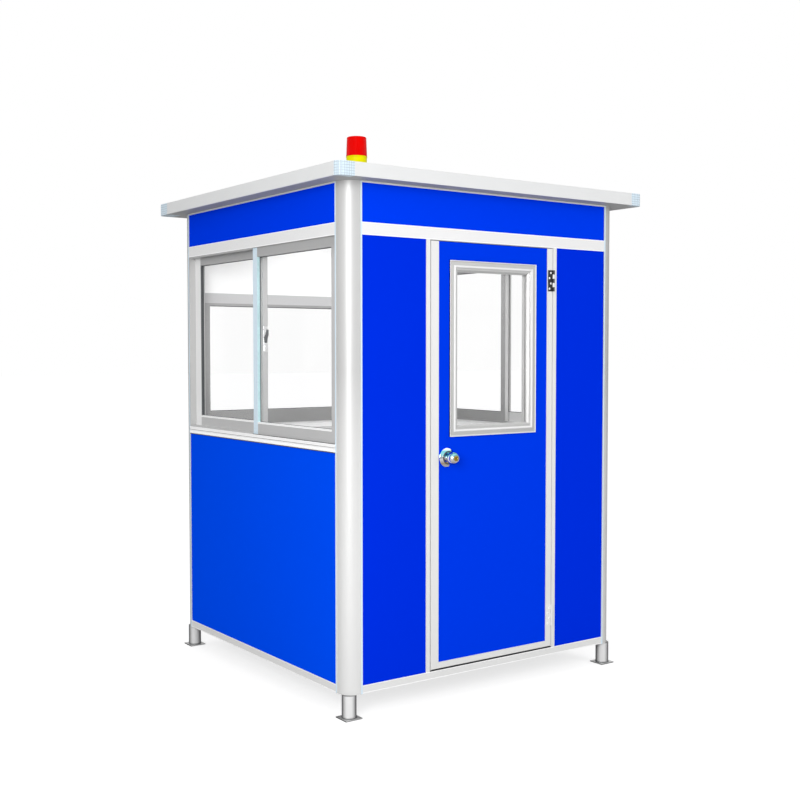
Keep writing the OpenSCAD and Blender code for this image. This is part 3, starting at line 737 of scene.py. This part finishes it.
def depth_first(to_world):
    """The same placing for outlines that are drawn as (depth, up) and stretched along the wall."""
    return lambda depth, up, along: to_world(along, depth, up)


def door_sides():
    """The Y places of the door's outer skin and of its inner skin."""
    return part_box("door_panel")[0].y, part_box("door_lining")[1].y


# ---------------------------------------------------------------- operators

NODE_FINISHES = {
    "post": ["corner_posts"],
    "frame": ["bottom_rails", "top_rails", "door_jambs", "door_stops", "door_frame",
              "upper_hinge_pin", "lower_hinge_pin", "lower_hinge_leaf"],
    # painted highlight: the sills take the glowing bright bead finish
    "bead": ["window_sills"],
    "foot": ["feet"],
    "floor": ["floor_deck"],
    "head": ["head_rails"],
    "wall": ["lower_wall_left", "lower_wall_right", "lower_wall_rear"],
    "fascia": ["fascia_panels"],
    "strip": ["front_wall_left", "front_wall_right"],
    "door": ["door_panel"],
    "lining": ["inner_lining"],
    "door_back": ["door_lining"],
    "sash": ["window_frame_left", "window_frame_right", "window_frame_rear", "outer_sash_left",
             "inner_sash_left", "outer_sash_right", "inner_sash_right", "door_window_frame"],
    "glass": ["glass_left", "glass_right", "glass_rear", "door_glass"],
    "latch": ["sash_latch"],
    "roof": ["roof_panel"],
    "roof_edge": ["roof_edges"],
    "cap": ["roof_corner_caps"],
    "yellow": ["beacon_base"],
    "red": ["beacon_dome"],
    "black": ["upper_hinge_leaf"],
    "chrome": ["knob_rosettes", "door_knob"],
}


class BOOTH_OT_finishes(bpy.types.Operator):
    """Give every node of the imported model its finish"""

    bl_idname = "booth.finishes"
    bl_label = "Finishes of the packed nodes"

    def execute(self, context):
        finishes = make_finishes()
        given = set()
        for key, nodes in NODE_FINISHES.items():
            for node in nodes:
                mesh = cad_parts[node].data
                mesh.materials.clear()
                mesh.materials.append(finishes[key])
                given.add(node)
        left = sorted(set(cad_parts) - given)
        if left:
            raise RuntimeError(f"these nodes have no finish: {left}")
        return {"FINISHED"}


class BOOTH_OT_post_films(bpy.types.Operator):
    """Lay pale film on the flat lips of the corner posts"""

    bl_idname = "booth.post_films"
    bl_label = "Films on the post lips"

    def execute(self, context):
        sizes = settings()[1]
        low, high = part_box("corner_posts")
        past_wall = 50 * MM
        end = min(place for place in levels("fascia_panels", 1) if place > low.y + past_wall) - low.y
        start, thick = end - sizes.lip_w, sizes.strip_t

        def build(bm):
            for turn_x, turn_y in CORNERS:
                for lip in (((start, -thick), (end, 0)), ((-thick, start), (0, end))):
                    xs = sorted(turn_x * (low.x + corner[0]) for corner in lip)
                    ys = sorted(turn_y * (low.y + corner[1]) for corner in lip)
                    add_box(bm, (xs[0], ys[0], low.z + SINK), (xs[1], ys[1], high.z - SINK))

        make_piece("post_lip_films", "cabin", make_finishes()["film"], build)
        return {"FINISHED"}


class BOOTH_OT_rail_edges(bpy.types.Operator):
    """Add the rounded edges along the head rails and the bottom rails, near-white and glowing as a painted
    highlight
    """

    bl_idname = "booth.rail_edges"
    bl_label = "Rail edges"

    def execute(self, context):
        thick = settings()[1].strip_t
        edge = 3.2 * MM
        side_ends, rear_ends = levels("lower_wall_left", 1), levels("lower_wall_rear", 0)
        ends = {"left": side_ends, "rear": rear_ends, "right": side_ends, "front": rear_ends}
        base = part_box("bottom_rails")
        head = levels("head_rails", 2)

        def build(bm):
            for side, places in ends.items():
                head_ends = (head[0], head[1]) if side == "rear" else (head[-2], head[-1])
                for low, high in (head_ends, (base[0].z, base[1].z)):
                    for foot in (low, high - edge):
                        outline = [(SINK, foot), (SINK, foot + edge), (-thick / 3, foot + edge),
                                   (-thick, foot + edge / 2), (-thick / 3, foot)]
                        add_prism(bm, outline, places[0], places[-1], depth_first(wall_face(side)))

        make_piece("rail_edges", "cabin", make_finishes()["bead"], build)
        return {"FINISHED"}


class BOOTH_OT_sash_trims(bpy.types.Operator):
    """Fit beads, gaskets, films and sill strips, with strips of painted shade and highlight, to the sliding
    windows
    """

    bl_idname = "booth.sash_trims"
    bl_label = "Sliding window trims"

    def execute(self, context):
        finishes = make_finishes()
        for side in ("left", "right"):
            self.add_window(side, finishes)
        return {"FINISHED"}

    def add_window(self, side, finishes):
        sizes = settings()[1]
        half_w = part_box("corner_posts")[1].x
        to_world = wall_face(side)
        panes = []
        for sash in (f"outer_sash_{side}", f"inner_sash_{side}"):
            along, up = levels(sash, 1), levels(sash, 2)
            depth = sorted(half_w - abs(place) for place in levels(sash, 0))
            opening = (along[2], along[3], up[2], up[3])
            panes.append({"along": along, "up": up, "depth": depth, "open": opening})
        outer, inner = panes
        thick = sizes.strip_t

        def gaskets(bm):
            for pane in panes:
                y0, y1, z0, z1 = pane["open"]
                face = pane["depth"][1]
                profile = [(0, face - 2 * MM), (sizes.gasket_w, face - MM), (sizes.gasket_w, face), (0, face)]
                add_mitred_ring(bm, (y0, z0), (y1, z1), profile, to_world)

        def beads(bm):
            proud, lap, rise, under = 1.2 * MM, 6 * MM, 2 * MM, 0.5 * MM
            for pane in panes:
                y0, y1, z0, _ = pane["open"]
                face = pane["depth"][0]
                foot = z0 - sizes.bead_h
                outline = [(face - proud, foot), (face - proud, z0 - 0.3 * sizes.bead_h),
                           (face + 2 * lap / 3, z0 + rise), (face + lap, z0 + rise), (face + lap, z0 - under),
                           (face, z0 - under), (face, foot)]
                add_prism(bm, outline, y0, y1, depth_first(to_world))

        def slab(along, depth, up):
            outline = [(along[0], depth[0]), (along[1], depth[0]), (along[1], depth[1]), (along[0], depth[1])]
            return lambda bm: add_prism(bm, outline, up[0], up[1], to_world)

        sill_low, sill_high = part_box("window_sills")
        sill_middle = (sill_low.z + sill_high.z) / 2
        sill_face = half_w + sill_low.x
        walls = levels("lower_wall_left", 1)
        wall = (walls[0], walls[-1])
        groove = (sill_middle + MM, sill_middle + 3.6 * MM)
        shadow = (sill_low.z - 4 * MM, sill_low.z)
        far, stile = inner["along"][-1], inner["open"][1]
        meeting = outer["open"][1]
        inner_up, outer_up = (inner["up"][0], inner["up"][-1]), (outer["up"][0], outer["up"][-1])
        inner_face, outer_face = inner["depth"][0], outer["depth"][0]
        rail, window = "frame_aluminium", "window_aluminium"
        pieces = [
            # painted shade: a grey line in the sill's groove
            ("sill_groove", rail, "mould", slab(wall, (sill_face - thick, SINK), groove)),
            ("sill_shadow", rail, "gasket", slab(wall, (-thick, SINK), shadow)),
            # painted highlight: a lighter strip over the far stile's face
            ("far_stile_strip", window, "soft",
             slab((stile + SINK, far), (inner_face - thick, inner_face), inner_up)),
            ("sash_gaskets", window, "gasket", gaskets),
            # painted highlight on the sash beads
            ("sash_beads", window, "bead", beads),
            ("far_stile_reveal", window, "gasket",
             slab((stile - thick, stile), (inner_face + SINK, inner["depth"][1]), inner["open"][2:])),
            # painted shade: a grey strip on the inner face of the frame's far bar
            ("far_bar_strip", window, "mould", slab((far - thick, far), (SINK, inner_face), inner_up)),
            ("meeting_stile_film", window, "film",
             slab((meeting, outer["along"][-1]), (outer_face - thick, outer_face), outer_up)),
            ("meeting_stile_edge", window, "cyan" if side == "left" else "mould",
             slab((meeting - thick, meeting), outer["depth"][:2], outer["open"][2:])),
            # painted shadow: a dark strip in the gap between the sill and the sashes
            ("sill_gasket", window, "gasket",
             slab((outer["along"][0], outer["along"][-1]), (-thick, 4 * MM), (sill_high.z, outer_up[0]))),
        ]
        for name, slot, key, build in pieces:
            make_piece(f"{name}_{side}", "cabin", finishes[key], build)


class BOOTH_OT_latch(bpy.types.Operator):
    """Build the window latch: plate, crescent, lever, keeper and screws"""

    bl_idname = "booth.latch"
    bl_label = "Window latch"

    def execute(self, context):
        node = "sash_latch"
        low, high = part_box(node)
        tall = high.z - low.z
        middle_x = (low.x + high.x) / 2
        face = high.y - 2 * MM
        keeper_t = 5 * MM
        turn = Matrix.Rotation(math.pi / 2, 4, "X")
        pivot_z, keeper_z = low.z + 0.55 * tall, low.z + 0.26 * tall
        screw = in_mm((3, 0), (2.6, 1), (1.2, 1.4), (0, 1.5))
        hub = in_mm((9.5, 0), (9.5, 3), (8, 4.5), (4.5, 5), (4, 7.5), (0, 8))
        crescent = in_mm((-5, -22), (3, -24), (5, -6), (10.5, 12), (10.5, 34), (6.5, 36), (3, 16), (-5, 4))

        def plate(bm):
            add_box(bm, (low.x, face, low.z), (high.x, high.y, high.z), 0.8 * MM)
            add_box(bm, (low.x + 2 * MM, face - keeper_t, low.z + 4 * MM),
                    (high.x - 2 * MM, face, keeper_z), 1.2 * MM)
            for up, out in ((low.z + 2 * MM + (keeper_z - low.z) / 2, keeper_t), (high.z - 6 * MM, 0)):
                add_lathe(bm, screw, Matrix.Translation((middle_x, face - out, up)) @ turn, 16)

        def lever(bm):
            add_lathe(bm, hub, Matrix.Translation((middle_x, face, pivot_z)) @ turn, 28)
            add_prism(bm, crescent, 4 * MM, 7.2 * MM,
                      lambda across, up, out: (middle_x + across, face - out, pivot_z + up))

        finishes = make_finishes()
        piece = make_piece("latch_plate", "cabin", finishes["steel"], plate)
        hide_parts(node)
        make_piece("latch_lever", "cabin", finishes["latch"], lever)
        return {"FINISHED"}


class BOOTH_OT_rear_gasket(bpy.types.Operator):
    """Fit the rubber round the rear window's glass"""

    bl_idname = "booth.rear_gasket"
    bl_label = "Rear window gasket"

    def execute(self, context):
        wide = settings()[1].gasket_w
        along, up = levels("window_frame_rear", 0), levels("window_frame_rear", 2)
        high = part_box("corner_posts")[1]
        glass_low, glass_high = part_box("glass_rear")
        outer_face, inner_face = high.y - glass_high.y, high.y - glass_low.y

        def build(bm):
            for face, step in ((outer_face, -2 * MM), (inner_face, 2 * MM)):
                profile = [(0, face + step), (wide, face + step / 2), (wide, face), (0, face)]
                add_mitred_ring(bm, (along[2], up[2]), (along[3], up[3]), profile, wall_face("rear"))

        make_piece("rear_window_gasket", "cabin", make_finishes()["gasket"], build)
        return {"FINISHED"}


class BOOTH_OT_door_moulding(bpy.types.Operator):
    """Shape the mitred moulding round the door window, with painted highlights on its lip and bead"""

    bl_idname = "booth.door_moulding"
    bl_label = "Door window moulding"

    def execute(self, context):
        node = "door_window_frame"
        low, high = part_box(node)
        wall_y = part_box("corner_posts")[0].y
        skin, back = (place - wall_y for place in door_sides())
        glass_low, glass_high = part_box("door_glass")
        front, room = low.y - wall_y, high.y - wall_y
        width = levels(node, 2)[4] - low.z
        lap = min(place for place in levels("door_panel", 2) if place > low.z) - low.z
        bite = glass_low.z - low.z
        pane_front, pane_back = glass_low.y - wall_y, glass_high.y - wall_y
        mm = MM
        lip = front + 3 * mm
        channel = skin - 2 * mm
        profile = [(0, skin), (0, lip + mm), (6 * mm, channel), (13 * mm, channel - mm)]
        profile += [(20 * mm, channel - 2 * mm), (32 * mm, channel - mm), (33 * mm, channel)]
        profile += [(width - 7 * mm, channel), (width, skin + 6 * mm)]
        profile += [(width, pane_front), (bite, pane_front), (bite, pane_back), (width, pane_back)]
        profile += [(width, back + 2 * mm), (width - 4 * mm, room), (20 * mm, room), (18 * mm, room - 2 * mm)]
        profile += [(6 * mm, room - 2 * mm), (4 * mm, room), (mm, room), (0, room - mm), (0, back)]
        profile += [(lap, back), (lap, skin)]
        lip_profile = [(0, skin), (0, lip + mm), (mm, lip), (2 * mm, lip)]
        lip_profile += [(3 * mm, lip + mm), (4 * mm, skin - mm)]
        bead_profile = [(x, front + 5 * mm + y) for x, y in arc((25 * mm, 0), 5 * mm, 190, 350, 8)]
        bead_profile += [(29 * mm, skin - mm), (21 * mm, skin - mm)]

        def rings(outlines):
            corners = (low.x, low.z), (high.x, high.z)
            return lambda bm: [add_mitred_ring(bm, *corners, line, wall_face("front")) for line in outlines]

        finishes = make_finishes()
        piece = make_piece("door_window_moulding", "door", finishes["mould"], rings([profile]), 25)
        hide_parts(node)
        # painted highlight: the lip and the bead are lighter copies of the moulding aluminium
        highlights = rings([lip_profile, bead_profile])
        make_piece("door_window_beads", "door", finishes["soft"], highlights, 25)
        return {"FINISHED"}


class BOOTH_OT_door_seals(bpy.types.Operator):
    """Line the doorway with seals, lay the threshold strip and hang a sweep under the door"""

    bl_idname = "booth.door_seals"
    bl_label = "Door seals and sweep"

    def execute(self, context):
        finishes, sizes = make_finishes(), settings()[1]
        _, left, right, *_ = levels("door_jambs", 0)
        low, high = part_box("door_jambs")
        leaf_low, leaf_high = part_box("door_frame")
        front, back = leaf_low.y + 3 * MM, leaf_high.y - 4 * MM
        wide, round_edge = sizes.seal_w, 0.6 * MM
        threshold_h, sweep_h = 4.2 * MM, 2.8 * MM

        def seals(bm):
            add_box(bm, (left, front, low.z), (left + wide, back, high.z), round_edge)
            add_box(bm, (right - wide, front, low.z), (right, back, high.z), round_edge)
            add_box(bm, (left + wide, front, high.z - wide), (right - wide, back, high.z), round_edge)

        def sweep(bm):
            add_box(bm, (leaf_low.x + 4 * MM, front, leaf_low.z - 0.4 * MM),
                    (leaf_high.x - 4 * MM, front + 8 * MM, leaf_low.z + 0.2 * MM))
            add_box(bm, (leaf_low.x + 2 * MM, leaf_low.y - sizes.strip_t, leaf_low.z),
                    (leaf_high.x - 2 * MM, leaf_low.y + 2 * MM, leaf_low.z + sweep_h))

        def threshold(bm):
            add_box(bm, (left + MM, low.y + 0.5 * MM, low.z),
                    (right - MM, back, low.z + threshold_h), round_edge)

        make_piece("threshold_strip", "cabin", finishes["black"], threshold)
        make_piece("door_seals", "cabin", finishes["seal"], seals)
        make_piece("door_sweep", "door", finishes["black"], sweep)
        return {"FINISHED"}


class BOOTH_OT_hinge_screws(bpy.types.Operator):
    """Drive four screws into each hinge leaf, in a zigzag"""

    bl_idname = "booth.hinge_screws"
    bl_label = "Hinge screws"

    def execute(self, context):
        radius = settings()[1].screw_d / 2
        for name in ("upper", "lower"):
            self.add_screws(f"{name}_hinge_screws", f"{name}_hinge_leaf", radius)
        return {"FINISHED"}

    def add_screws(self, name, leaf, radius):
        low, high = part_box(leaf)
        frame_low, frame_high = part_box("door_frame")
        middle = (low.x + frame_high.x - 4 * MM) / 2
        face = frame_low.y - 2 * MM
        count, zigzag = 4, 4.2 * MM
        slot_long, slot_wide = radius * 0.42, radius * 0.1
        slot_deep, slot_proud = 1.2 * MM, 2.15 * MM
        profile = [(radius, 0), (radius * 0.96, 0.8 * MM), (radius * 0.7, 1.6 * MM),
                   (radius * 0.35, 1.9 * MM), (0, 2 * MM)]
        places = []
        for step in range(count):
            across = middle + (zigzag if step % 2 else -zigzag)
            places.append((across, low.z + (high.z - low.z) * (step + 0.5) / count))

        def build(bm):
            for across, up in places:
                place = Matrix.Translation((across, face, up)) @ Matrix.Rotation(math.pi / 2, 4, "X")
                add_lathe(bm, profile, place, 20)

        # painted shade: black crosses stand in for the shade in each screw's slot
        def slot_shades(bm):
            for across, up in places:
                for wide, tall in ((slot_long, slot_wide), (slot_wide, slot_long)):
                    add_box(bm, (across - wide, face - slot_proud, up - tall),
                            (across + wide, face - slot_deep, up + tall))

        finishes = make_finishes()
        # painted highlight: the screw heads take the glowing bright bead finish
        make_piece(name, "door", finishes["bead"], build)
        make_piece(f"{name}_slots", "door", finishes["black"], slot_shades)


class BOOTH_OT_knob_trims(bpy.types.Operator):
    """Fit the key cylinder, the thumb turn and the rings of the rosettes, with painted shade in the key slot
    and where each knob meets its rosette
    """

    bl_idname = "booth.knob_trims"
    bl_label = "Knob cylinder and rings"

    def execute(self, context):
        finishes = make_finishes()
        low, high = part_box("door_knob")
        middle = (low + high) / 2
        radius = settings()[1].cylinder_d / 2
        outward, inward = (Matrix.Rotation(turn * math.pi / 2, 4, "X") for turn in (1, -1))
        outside = Matrix.Translation((middle.x, low.y, middle.z)) @ outward
        inside = Matrix.Translation((middle.x, high.y, middle.z)) @ inward
        barrel = [(radius, -2 * MM), (radius, 1.2 * MM), (radius * 0.9, 2 * MM), (radius * 0.55, 2 * MM),
                  (radius * 0.5, 1.4 * MM), (0, 1.4 * MM)]
        collar = [(radius * 1.5, -3 * MM), (radius * 1.5, 0.4 * MM), (radius * 1.35, 1.1 * MM),
                  (radius * 1.05, 1.1 * MM), (radius, -2 * MM)]
        rosette_low, rosette_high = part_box("knob_rosettes")
        skin, back = door_sides()
        reach, proud = (rosette_high.x - rosette_low.x) / 2, skin - rosette_low.y
        ring = [(reach + 1.2 * MM, 0), (reach + 1.2 * MM, 2.2 * MM),
                (reach, 3.4 * MM), (reach - 2 * MM, 3.4 * MM)]
        # painted shade: a dark ring where each knob meets its rosette
        neck_shade = [(reach * 0.74, proud * 0.92), (reach * 0.71, proud + 1.6 * MM),
                (reach * 0.62, proud + 1.6 * MM), (reach * 0.6, proud - MM)]

        def cylinder(bm):
            add_lathe(bm, barrel, outside, 40)

        def collars(bm):
            add_lathe(bm, collar, outside, 40)
            add_lathe(bm, collar, inside, 40)
            add_box(bm, (middle.x - 2.5 * MM, high.y - MM, middle.z - 8 * MM),
                    (middle.x + 2.5 * MM, high.y + 8 * MM, middle.z + 8 * MM), 1.8 * MM)

        # painted shade: a black slot stands in for the shade inside the key slot
        def keyway(bm):
            add_box(bm, (middle.x - 0.8 * MM, low.y - 2.1 * MM, middle.z - 4.5 * MM),
                    (middle.x + 0.8 * MM, low.y - 0.8 * MM, middle.z + 4.5 * MM))

        def both_sides(profile):
            def build(bm):
                for place_y, turn in ((skin, outward), (back, inward)):
                    add_lathe(bm, profile, Matrix.Translation((middle.x, place_y, middle.z)) @ turn, 64)
            return build

        make_piece("key_cylinder", "knob", finishes["brass"], cylinder)
        make_piece("keyway", "knob", finishes["black"], keyway)
        make_piece("knob_collars", "knob", finishes["chrome"], collars)
        make_piece("rosette_rings", "door", finishes["chrome"], both_sides(ring))
        make_piece("rosette_necks", "door", finishes["gasket"], both_sides(neck_shade))
        return {"FINISHED"}


class BOOTH_OT_roof_screws(bpy.types.Operator):
    """Put a row of screws along the flanges of the roof edge"""

    bl_idname = "booth.roof_screws"
    bl_label = "Roof edge screws"

    def execute(self, context):
        low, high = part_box("roof_edges")
        inset, count, end_share = 22 * MM, 5, 0.1
        radius = settings()[1].rivet_d / 2
        profile = [(radius, 0), (radius, MM), (radius * 0.75, 2.8 * MM),
                   (radius * 0.3, 3.6 * MM), (0, 3.8 * MM)]

        def build(bm):
            for turn in (-1, 1):
                for step in range(count):
                    share = end_share + (1 - 2 * end_share) * (step + 0.5) / count
                    x, y = low.x + (high.x - low.x) * share, low.y + (high.y - low.y) * share
                    for place in ((x, turn * (high.y - inset)), (turn * (high.x - inset), y)):
                        add_lathe(bm, profile, Matrix.Translation((*place, high.z)), 20)

        make_piece("roof_edge_screws", "cabin", make_finishes()["steel"], build)
        return {"FINISHED"}


class BOOTH_OT_roof_seams(bpy.types.Operator):
    """Lay flat cover strips over the joints of the roof's sheets"""

    bl_idname = "booth.roof_seams"
    bl_label = "Roof seams"

    def execute(self, context):
        low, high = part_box("roof_panel")
        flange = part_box("roof_edges")[1].x - high.x + 32 * MM
        outline = in_mm((-22, -1), (-22, 0.8), (-6, 1.4), (-4, 3.2), (4, 3.2), (6, 1.4), (22, 0.8), (22, -1))

        def build(bm):
            for share in (1 / 3, 2 / 3):
                x = low.x + (high.x - low.x) * share
                add_prism(bm, outline, low.y + flange, high.y - flange,
                          lambda across, up, along: (x + across, along, high.z + up))

        make_piece("roof_seams", "cabin", make_finishes()["roof"], build)
        return {"FINISHED"}


class BOOTH_OT_beacon_lens(bpy.types.Operator):
    """Turn the fluted red lens of the beacon and the lip of its base"""

    bl_idname = "booth.beacon_lens"
    bl_label = "Beacon lens"

    def execute(self, context):
        finishes = make_finishes()
        low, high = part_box("beacon_dome")
        middle = (low + high) / 2
        radius, tall = (high.x - low.x) / 2, high.z - low.z
        shoulder = 4 * MM
        top = radius * 0.93
        profile = [(radius, 0), (radius, 3 * MM), (radius * 0.985, 4 * MM)]
        profile += [(x, tall - shoulder + y) for x, y in arc((top - shoulder, 0), shoulder, 0, 90, 7)]
        profile += [(top * 0.5, tall + 0.8 * MM), (0, tall + MM)]
        flutes, per_flute, flute_depth = 36, 4, 0.03

        def lens(bm):
            add_lathe(bm, profile, Matrix.Translation((middle.x, middle.y, low.z)), flutes * per_flute)
            for vert in bm.verts:
                offset = vert.co - Vector((middle.x, middle.y, vert.co.z))
                above = vert.co.z - low.z
                if offset.length > radius * 0.5 and 3.5 * MM < above < tall - shoulder:
                    angle = math.atan2(offset.y, offset.x)
                    vert.co -= offset * flute_depth * (0.5 + 0.5 * math.cos(flutes * angle))

        def lip(bm):
            base_low, base_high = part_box("beacon_base")
            reach = (base_high.x - base_low.x) / 2
            proud = reach + 1.5 * MM
            ring = [(reach, -6 * MM), (proud, -5 * MM), (proud, -MM), (reach, 0), (reach - 2 * MM, 0)]
            add_lathe(bm, ring, Matrix.Translation((middle.x, middle.y, base_high.z)), 72)
            foot = [(reach, 12 * MM), (reach + 2 * MM, 10 * MM), (reach + 2 * MM, 2 * MM)]
            roof_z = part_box("roof_panel")[1].z
            add_lathe(bm, foot, Matrix.Translation((middle.x, middle.y, roof_z)), 72)

        piece = make_piece("beacon_lens", "cabin", finishes["red"], lens, 50)
        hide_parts("beacon_dome")
        make_piece("beacon_base_lip", "cabin", finishes["yellow"], lip)
        return {"FINISHED"}


class BOOTH_OT_foot_welds(bpy.types.Operator):
    """Run a weld bead round each leg where it meets its plate"""

    bl_idname = "booth.foot_welds"
    bl_label = "Weld beads on the feet"

    def execute(self, context):
        wide = settings()[1].weld_w
        xs = levels("feet", 0)
        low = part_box("feet")[0]
        plate_top = levels("feet", 2)[1]
        plate_half = (max(place for place in xs if place < 0) - low.x) / 2
        leg = [place for place in xs if low.x + SINK < place < low.x + 2 * plate_half - SINK]
        leg_r = (max(leg) - min(leg)) / 2
        profile = [(leg_r + wide, 0), (leg_r + wide * 0.8, wide * 0.6), (leg_r, wide)]

        def build(bm):
            for turn_x, turn_y in CORNERS:
                centre = (turn_x * (low.x + plate_half), turn_y * (low.y + plate_half), plate_top)
                add_lathe(bm, profile, Matrix.Translation(centre), 48)

        # the weld's dark grey also paints the shade where each leg meets its plate
        make_piece("foot_welds", "cabin", make_finishes()["latch"], build)
        return {"FINISHED"}


LAMPS = [
    # name, power setting, diameter, place, aim, seen in reflections; lengths in metres
    ("Key light", "key_power", 2.4, (-4.2, -3.9, 2.3), (-0.4, -0.4, 1.1), True),
    ("Fill light", "fill_power", 3.2, (2.2, -5.4, 2.2), (0, -0.4, 1.1), False),
    ("Room light", "room_power", 1.1, (0, 0, 2.12), (0, 0, 0), True),
]


def seen_directly(tree):
    """1 for what the camera sees, also through glass, and 0 for the light that lands on things."""
    paths = tree.nodes.new("ShaderNodeLightPath")
    return math_node(tree, "MAXIMUM", paths.outputs["Is Camera Ray"], paths.outputs["Is Transmission Ray"])


class BOOTH_OT_stage(bpy.types.Operator):
    """Set up the pale floor, the soft lights and the camera"""

    bl_idname = "booth.stage"
    bl_label = "Studio floor, lights and camera"

    def execute(self, context):
        colours, _, stage = settings()
        scene = context.scene
        self.add_floor(scene, colours)
        self.add_sky(scene, stage)
        for name, power, size, place, target, shows in LAMPS:
            self.add_light(scene, name, getattr(stage, power), size, place, target, shows)
        self.add_camera(scene, stage)
        scene.view_settings.view_transform = "Standard"
        return {"FINISHED"}

    def add_floor(self, scene, colours):
        mesh = bpy.data.meshes.new("studio_floor")
        reach, lift = 60.0, 0.7
        corners = [(-reach, -reach, 0), (reach, -reach, 0), (reach, reach, 0), (-reach, reach, 0)]
        mesh.from_pydata(corners, [], [(0, 1, 2, 3)])
        material = finish("Studio floor", colours.stage_floor, (0.9, 1.0), specular=0.0, bump=0.0,
                          drift=0.002, dust=0.0)
        tree = material.node_tree
        shader = tree.nodes["Principled BSDF"]
        shader.inputs["Emission Color"].default_value = (1, 1, 1, 1)
        glow = math_node(tree, "MULTIPLY", seen_directly(tree), lift)
        tree.links.new(glow, shader.inputs["Emission Strength"])
        mesh.materials.append(material)
        floor = bpy.data.objects.new("studio_floor", mesh)
        scene.collection.objects.link(floor)

    def add_sky(self, scene, stage):
        world = bpy.data.worlds.new("Booth studio")
        world.use_nodes = True
        tree = world.node_tree
        light = tree.nodes["Background"]
        light.inputs["Color"].default_value = (1, 1, 1, 1)
        tree.links.new(self.add_shine(tree, stage), light.inputs["Strength"])
        backdrop = tree.nodes.new("ShaderNodeBackground")
        backdrop.inputs["Color"].default_value = (1, 1, 1, 1)
        backdrop.inputs["Strength"].default_value = 1.0
        choose = tree.nodes.new("ShaderNodeMixShader")
        tree.links.new(seen_directly(tree), choose.inputs["Fac"])
        tree.links.new(light.outputs["Background"], choose.inputs[1])
        tree.links.new(backdrop.outputs["Background"], choose.inputs[2])
        tree.links.new(choose.outputs["Shader"], tree.nodes["World Output"].inputs["Surface"])
        scene.world = world

    def add_shine(self, tree, stage):
        """Even light for dull surfaces; for glossy ones a bright ceiling over a dimmer horizon."""
        horizon, ceiling_gain = 0.5, 0.75
        place = tree.nodes.new("ShaderNodeTexCoord")
        split = tree.nodes.new("ShaderNodeSeparateXYZ")
        tree.links.new(place.outputs["Generated"], split.inputs[0])
        rise = math_node(tree, "MULTIPLY", split.outputs["Z"], 2.0, clamp=True)
        ceiling = math_node(tree, "MULTIPLY_ADD", rise, ceiling_gain, horizon - stage.sky_light)
        paths = tree.nodes.new("ShaderNodeLightPath")
        return math_node(tree, "MULTIPLY_ADD", paths.outputs["Is Glossy Ray"], ceiling, stage.sky_light)

    def add_light(self, scene, name, power, size, place, target, shows):
        data = bpy.data.lights.new(name, "AREA")
        data.energy = power
        data.shape = "DISK"
        data.size = size
        lamp = bpy.data.objects.new(name, data)
        lamp.location = place
        lamp.rotation_euler = (Vector(target) - Vector(place)).to_track_quat("-Z", "Y").to_euler()
        lamp.visible_camera = False
        lamp.visible_glossy = shows
        scene.collection.objects.link(lamp)

    def add_camera(self, scene, stage):
        data = bpy.data.cameras.new("Camera")
        data.lens = stage.camera_lens
        data.sensor_width = 36.0
        camera = bpy.data.objects.new("Camera", data)
        camera.location = stage.camera_at
        camera.rotation_euler = (math.pi / 2 - stage.camera_pitch, 0, -stage.camera_heading)
        scene.collection.objects.link(camera)
        scene.camera = camera


class BOOTH_PT_panel(bpy.types.Panel):
    """Sidebar panel with the booth's settings and steps"""

    bl_idname = "BOOTH_PT_panel"
    bl_label = "Guard booth"
    bl_space_type = "VIEW_3D"
    bl_region_type = "UI"
    bl_category = "Booth"

    def draw(self, context):
        column = self.layout.column()
        for group in settings():
            for key in group.bl_rna.properties.keys():
                if key not in {"rna_type", "name"}:
                    column.prop(group, key)
        for step in STEPS:
            column.operator(step.bl_idname)


STEPS = [
    BOOTH_OT_finishes, BOOTH_OT_post_films, BOOTH_OT_rail_edges, BOOTH_OT_sash_trims, BOOTH_OT_latch,
    BOOTH_OT_rear_gasket, BOOTH_OT_door_moulding, BOOTH_OT_door_seals, BOOTH_OT_hinge_screws,
    BOOTH_OT_knob_trims, BOOTH_OT_roof_screws, BOOTH_OT_roof_seams, BOOTH_OT_beacon_lens,
    BOOTH_OT_foot_welds, BOOTH_OT_stage,
]
GROUPS = {"booth_colours": BoothColours, "booth_sizes": BoothSizes, "booth_stage": BoothStage}


def register():
    for cls in [*GROUPS.values(), *STEPS, BOOTH_PT_panel]:
        bpy.utils.register_class(cls)
    for key, cls in GROUPS.items():
        setattr(bpy.types.Scene, key, bpy.props.PointerProperty(type=cls))


def unregister():
    for key in GROUPS:
        delattr(bpy.types.Scene, key)
    for cls in reversed([*GROUPS.values(), *STEPS, BOOTH_PT_panel]):
        bpy.utils.unregister_class(cls)


def main():
    register()
    for step in STEPS:
        area, name = step.bl_idname.split(".")
        getattr(getattr(bpy.ops, area), name)()


if __name__ == "__main__":
    main()
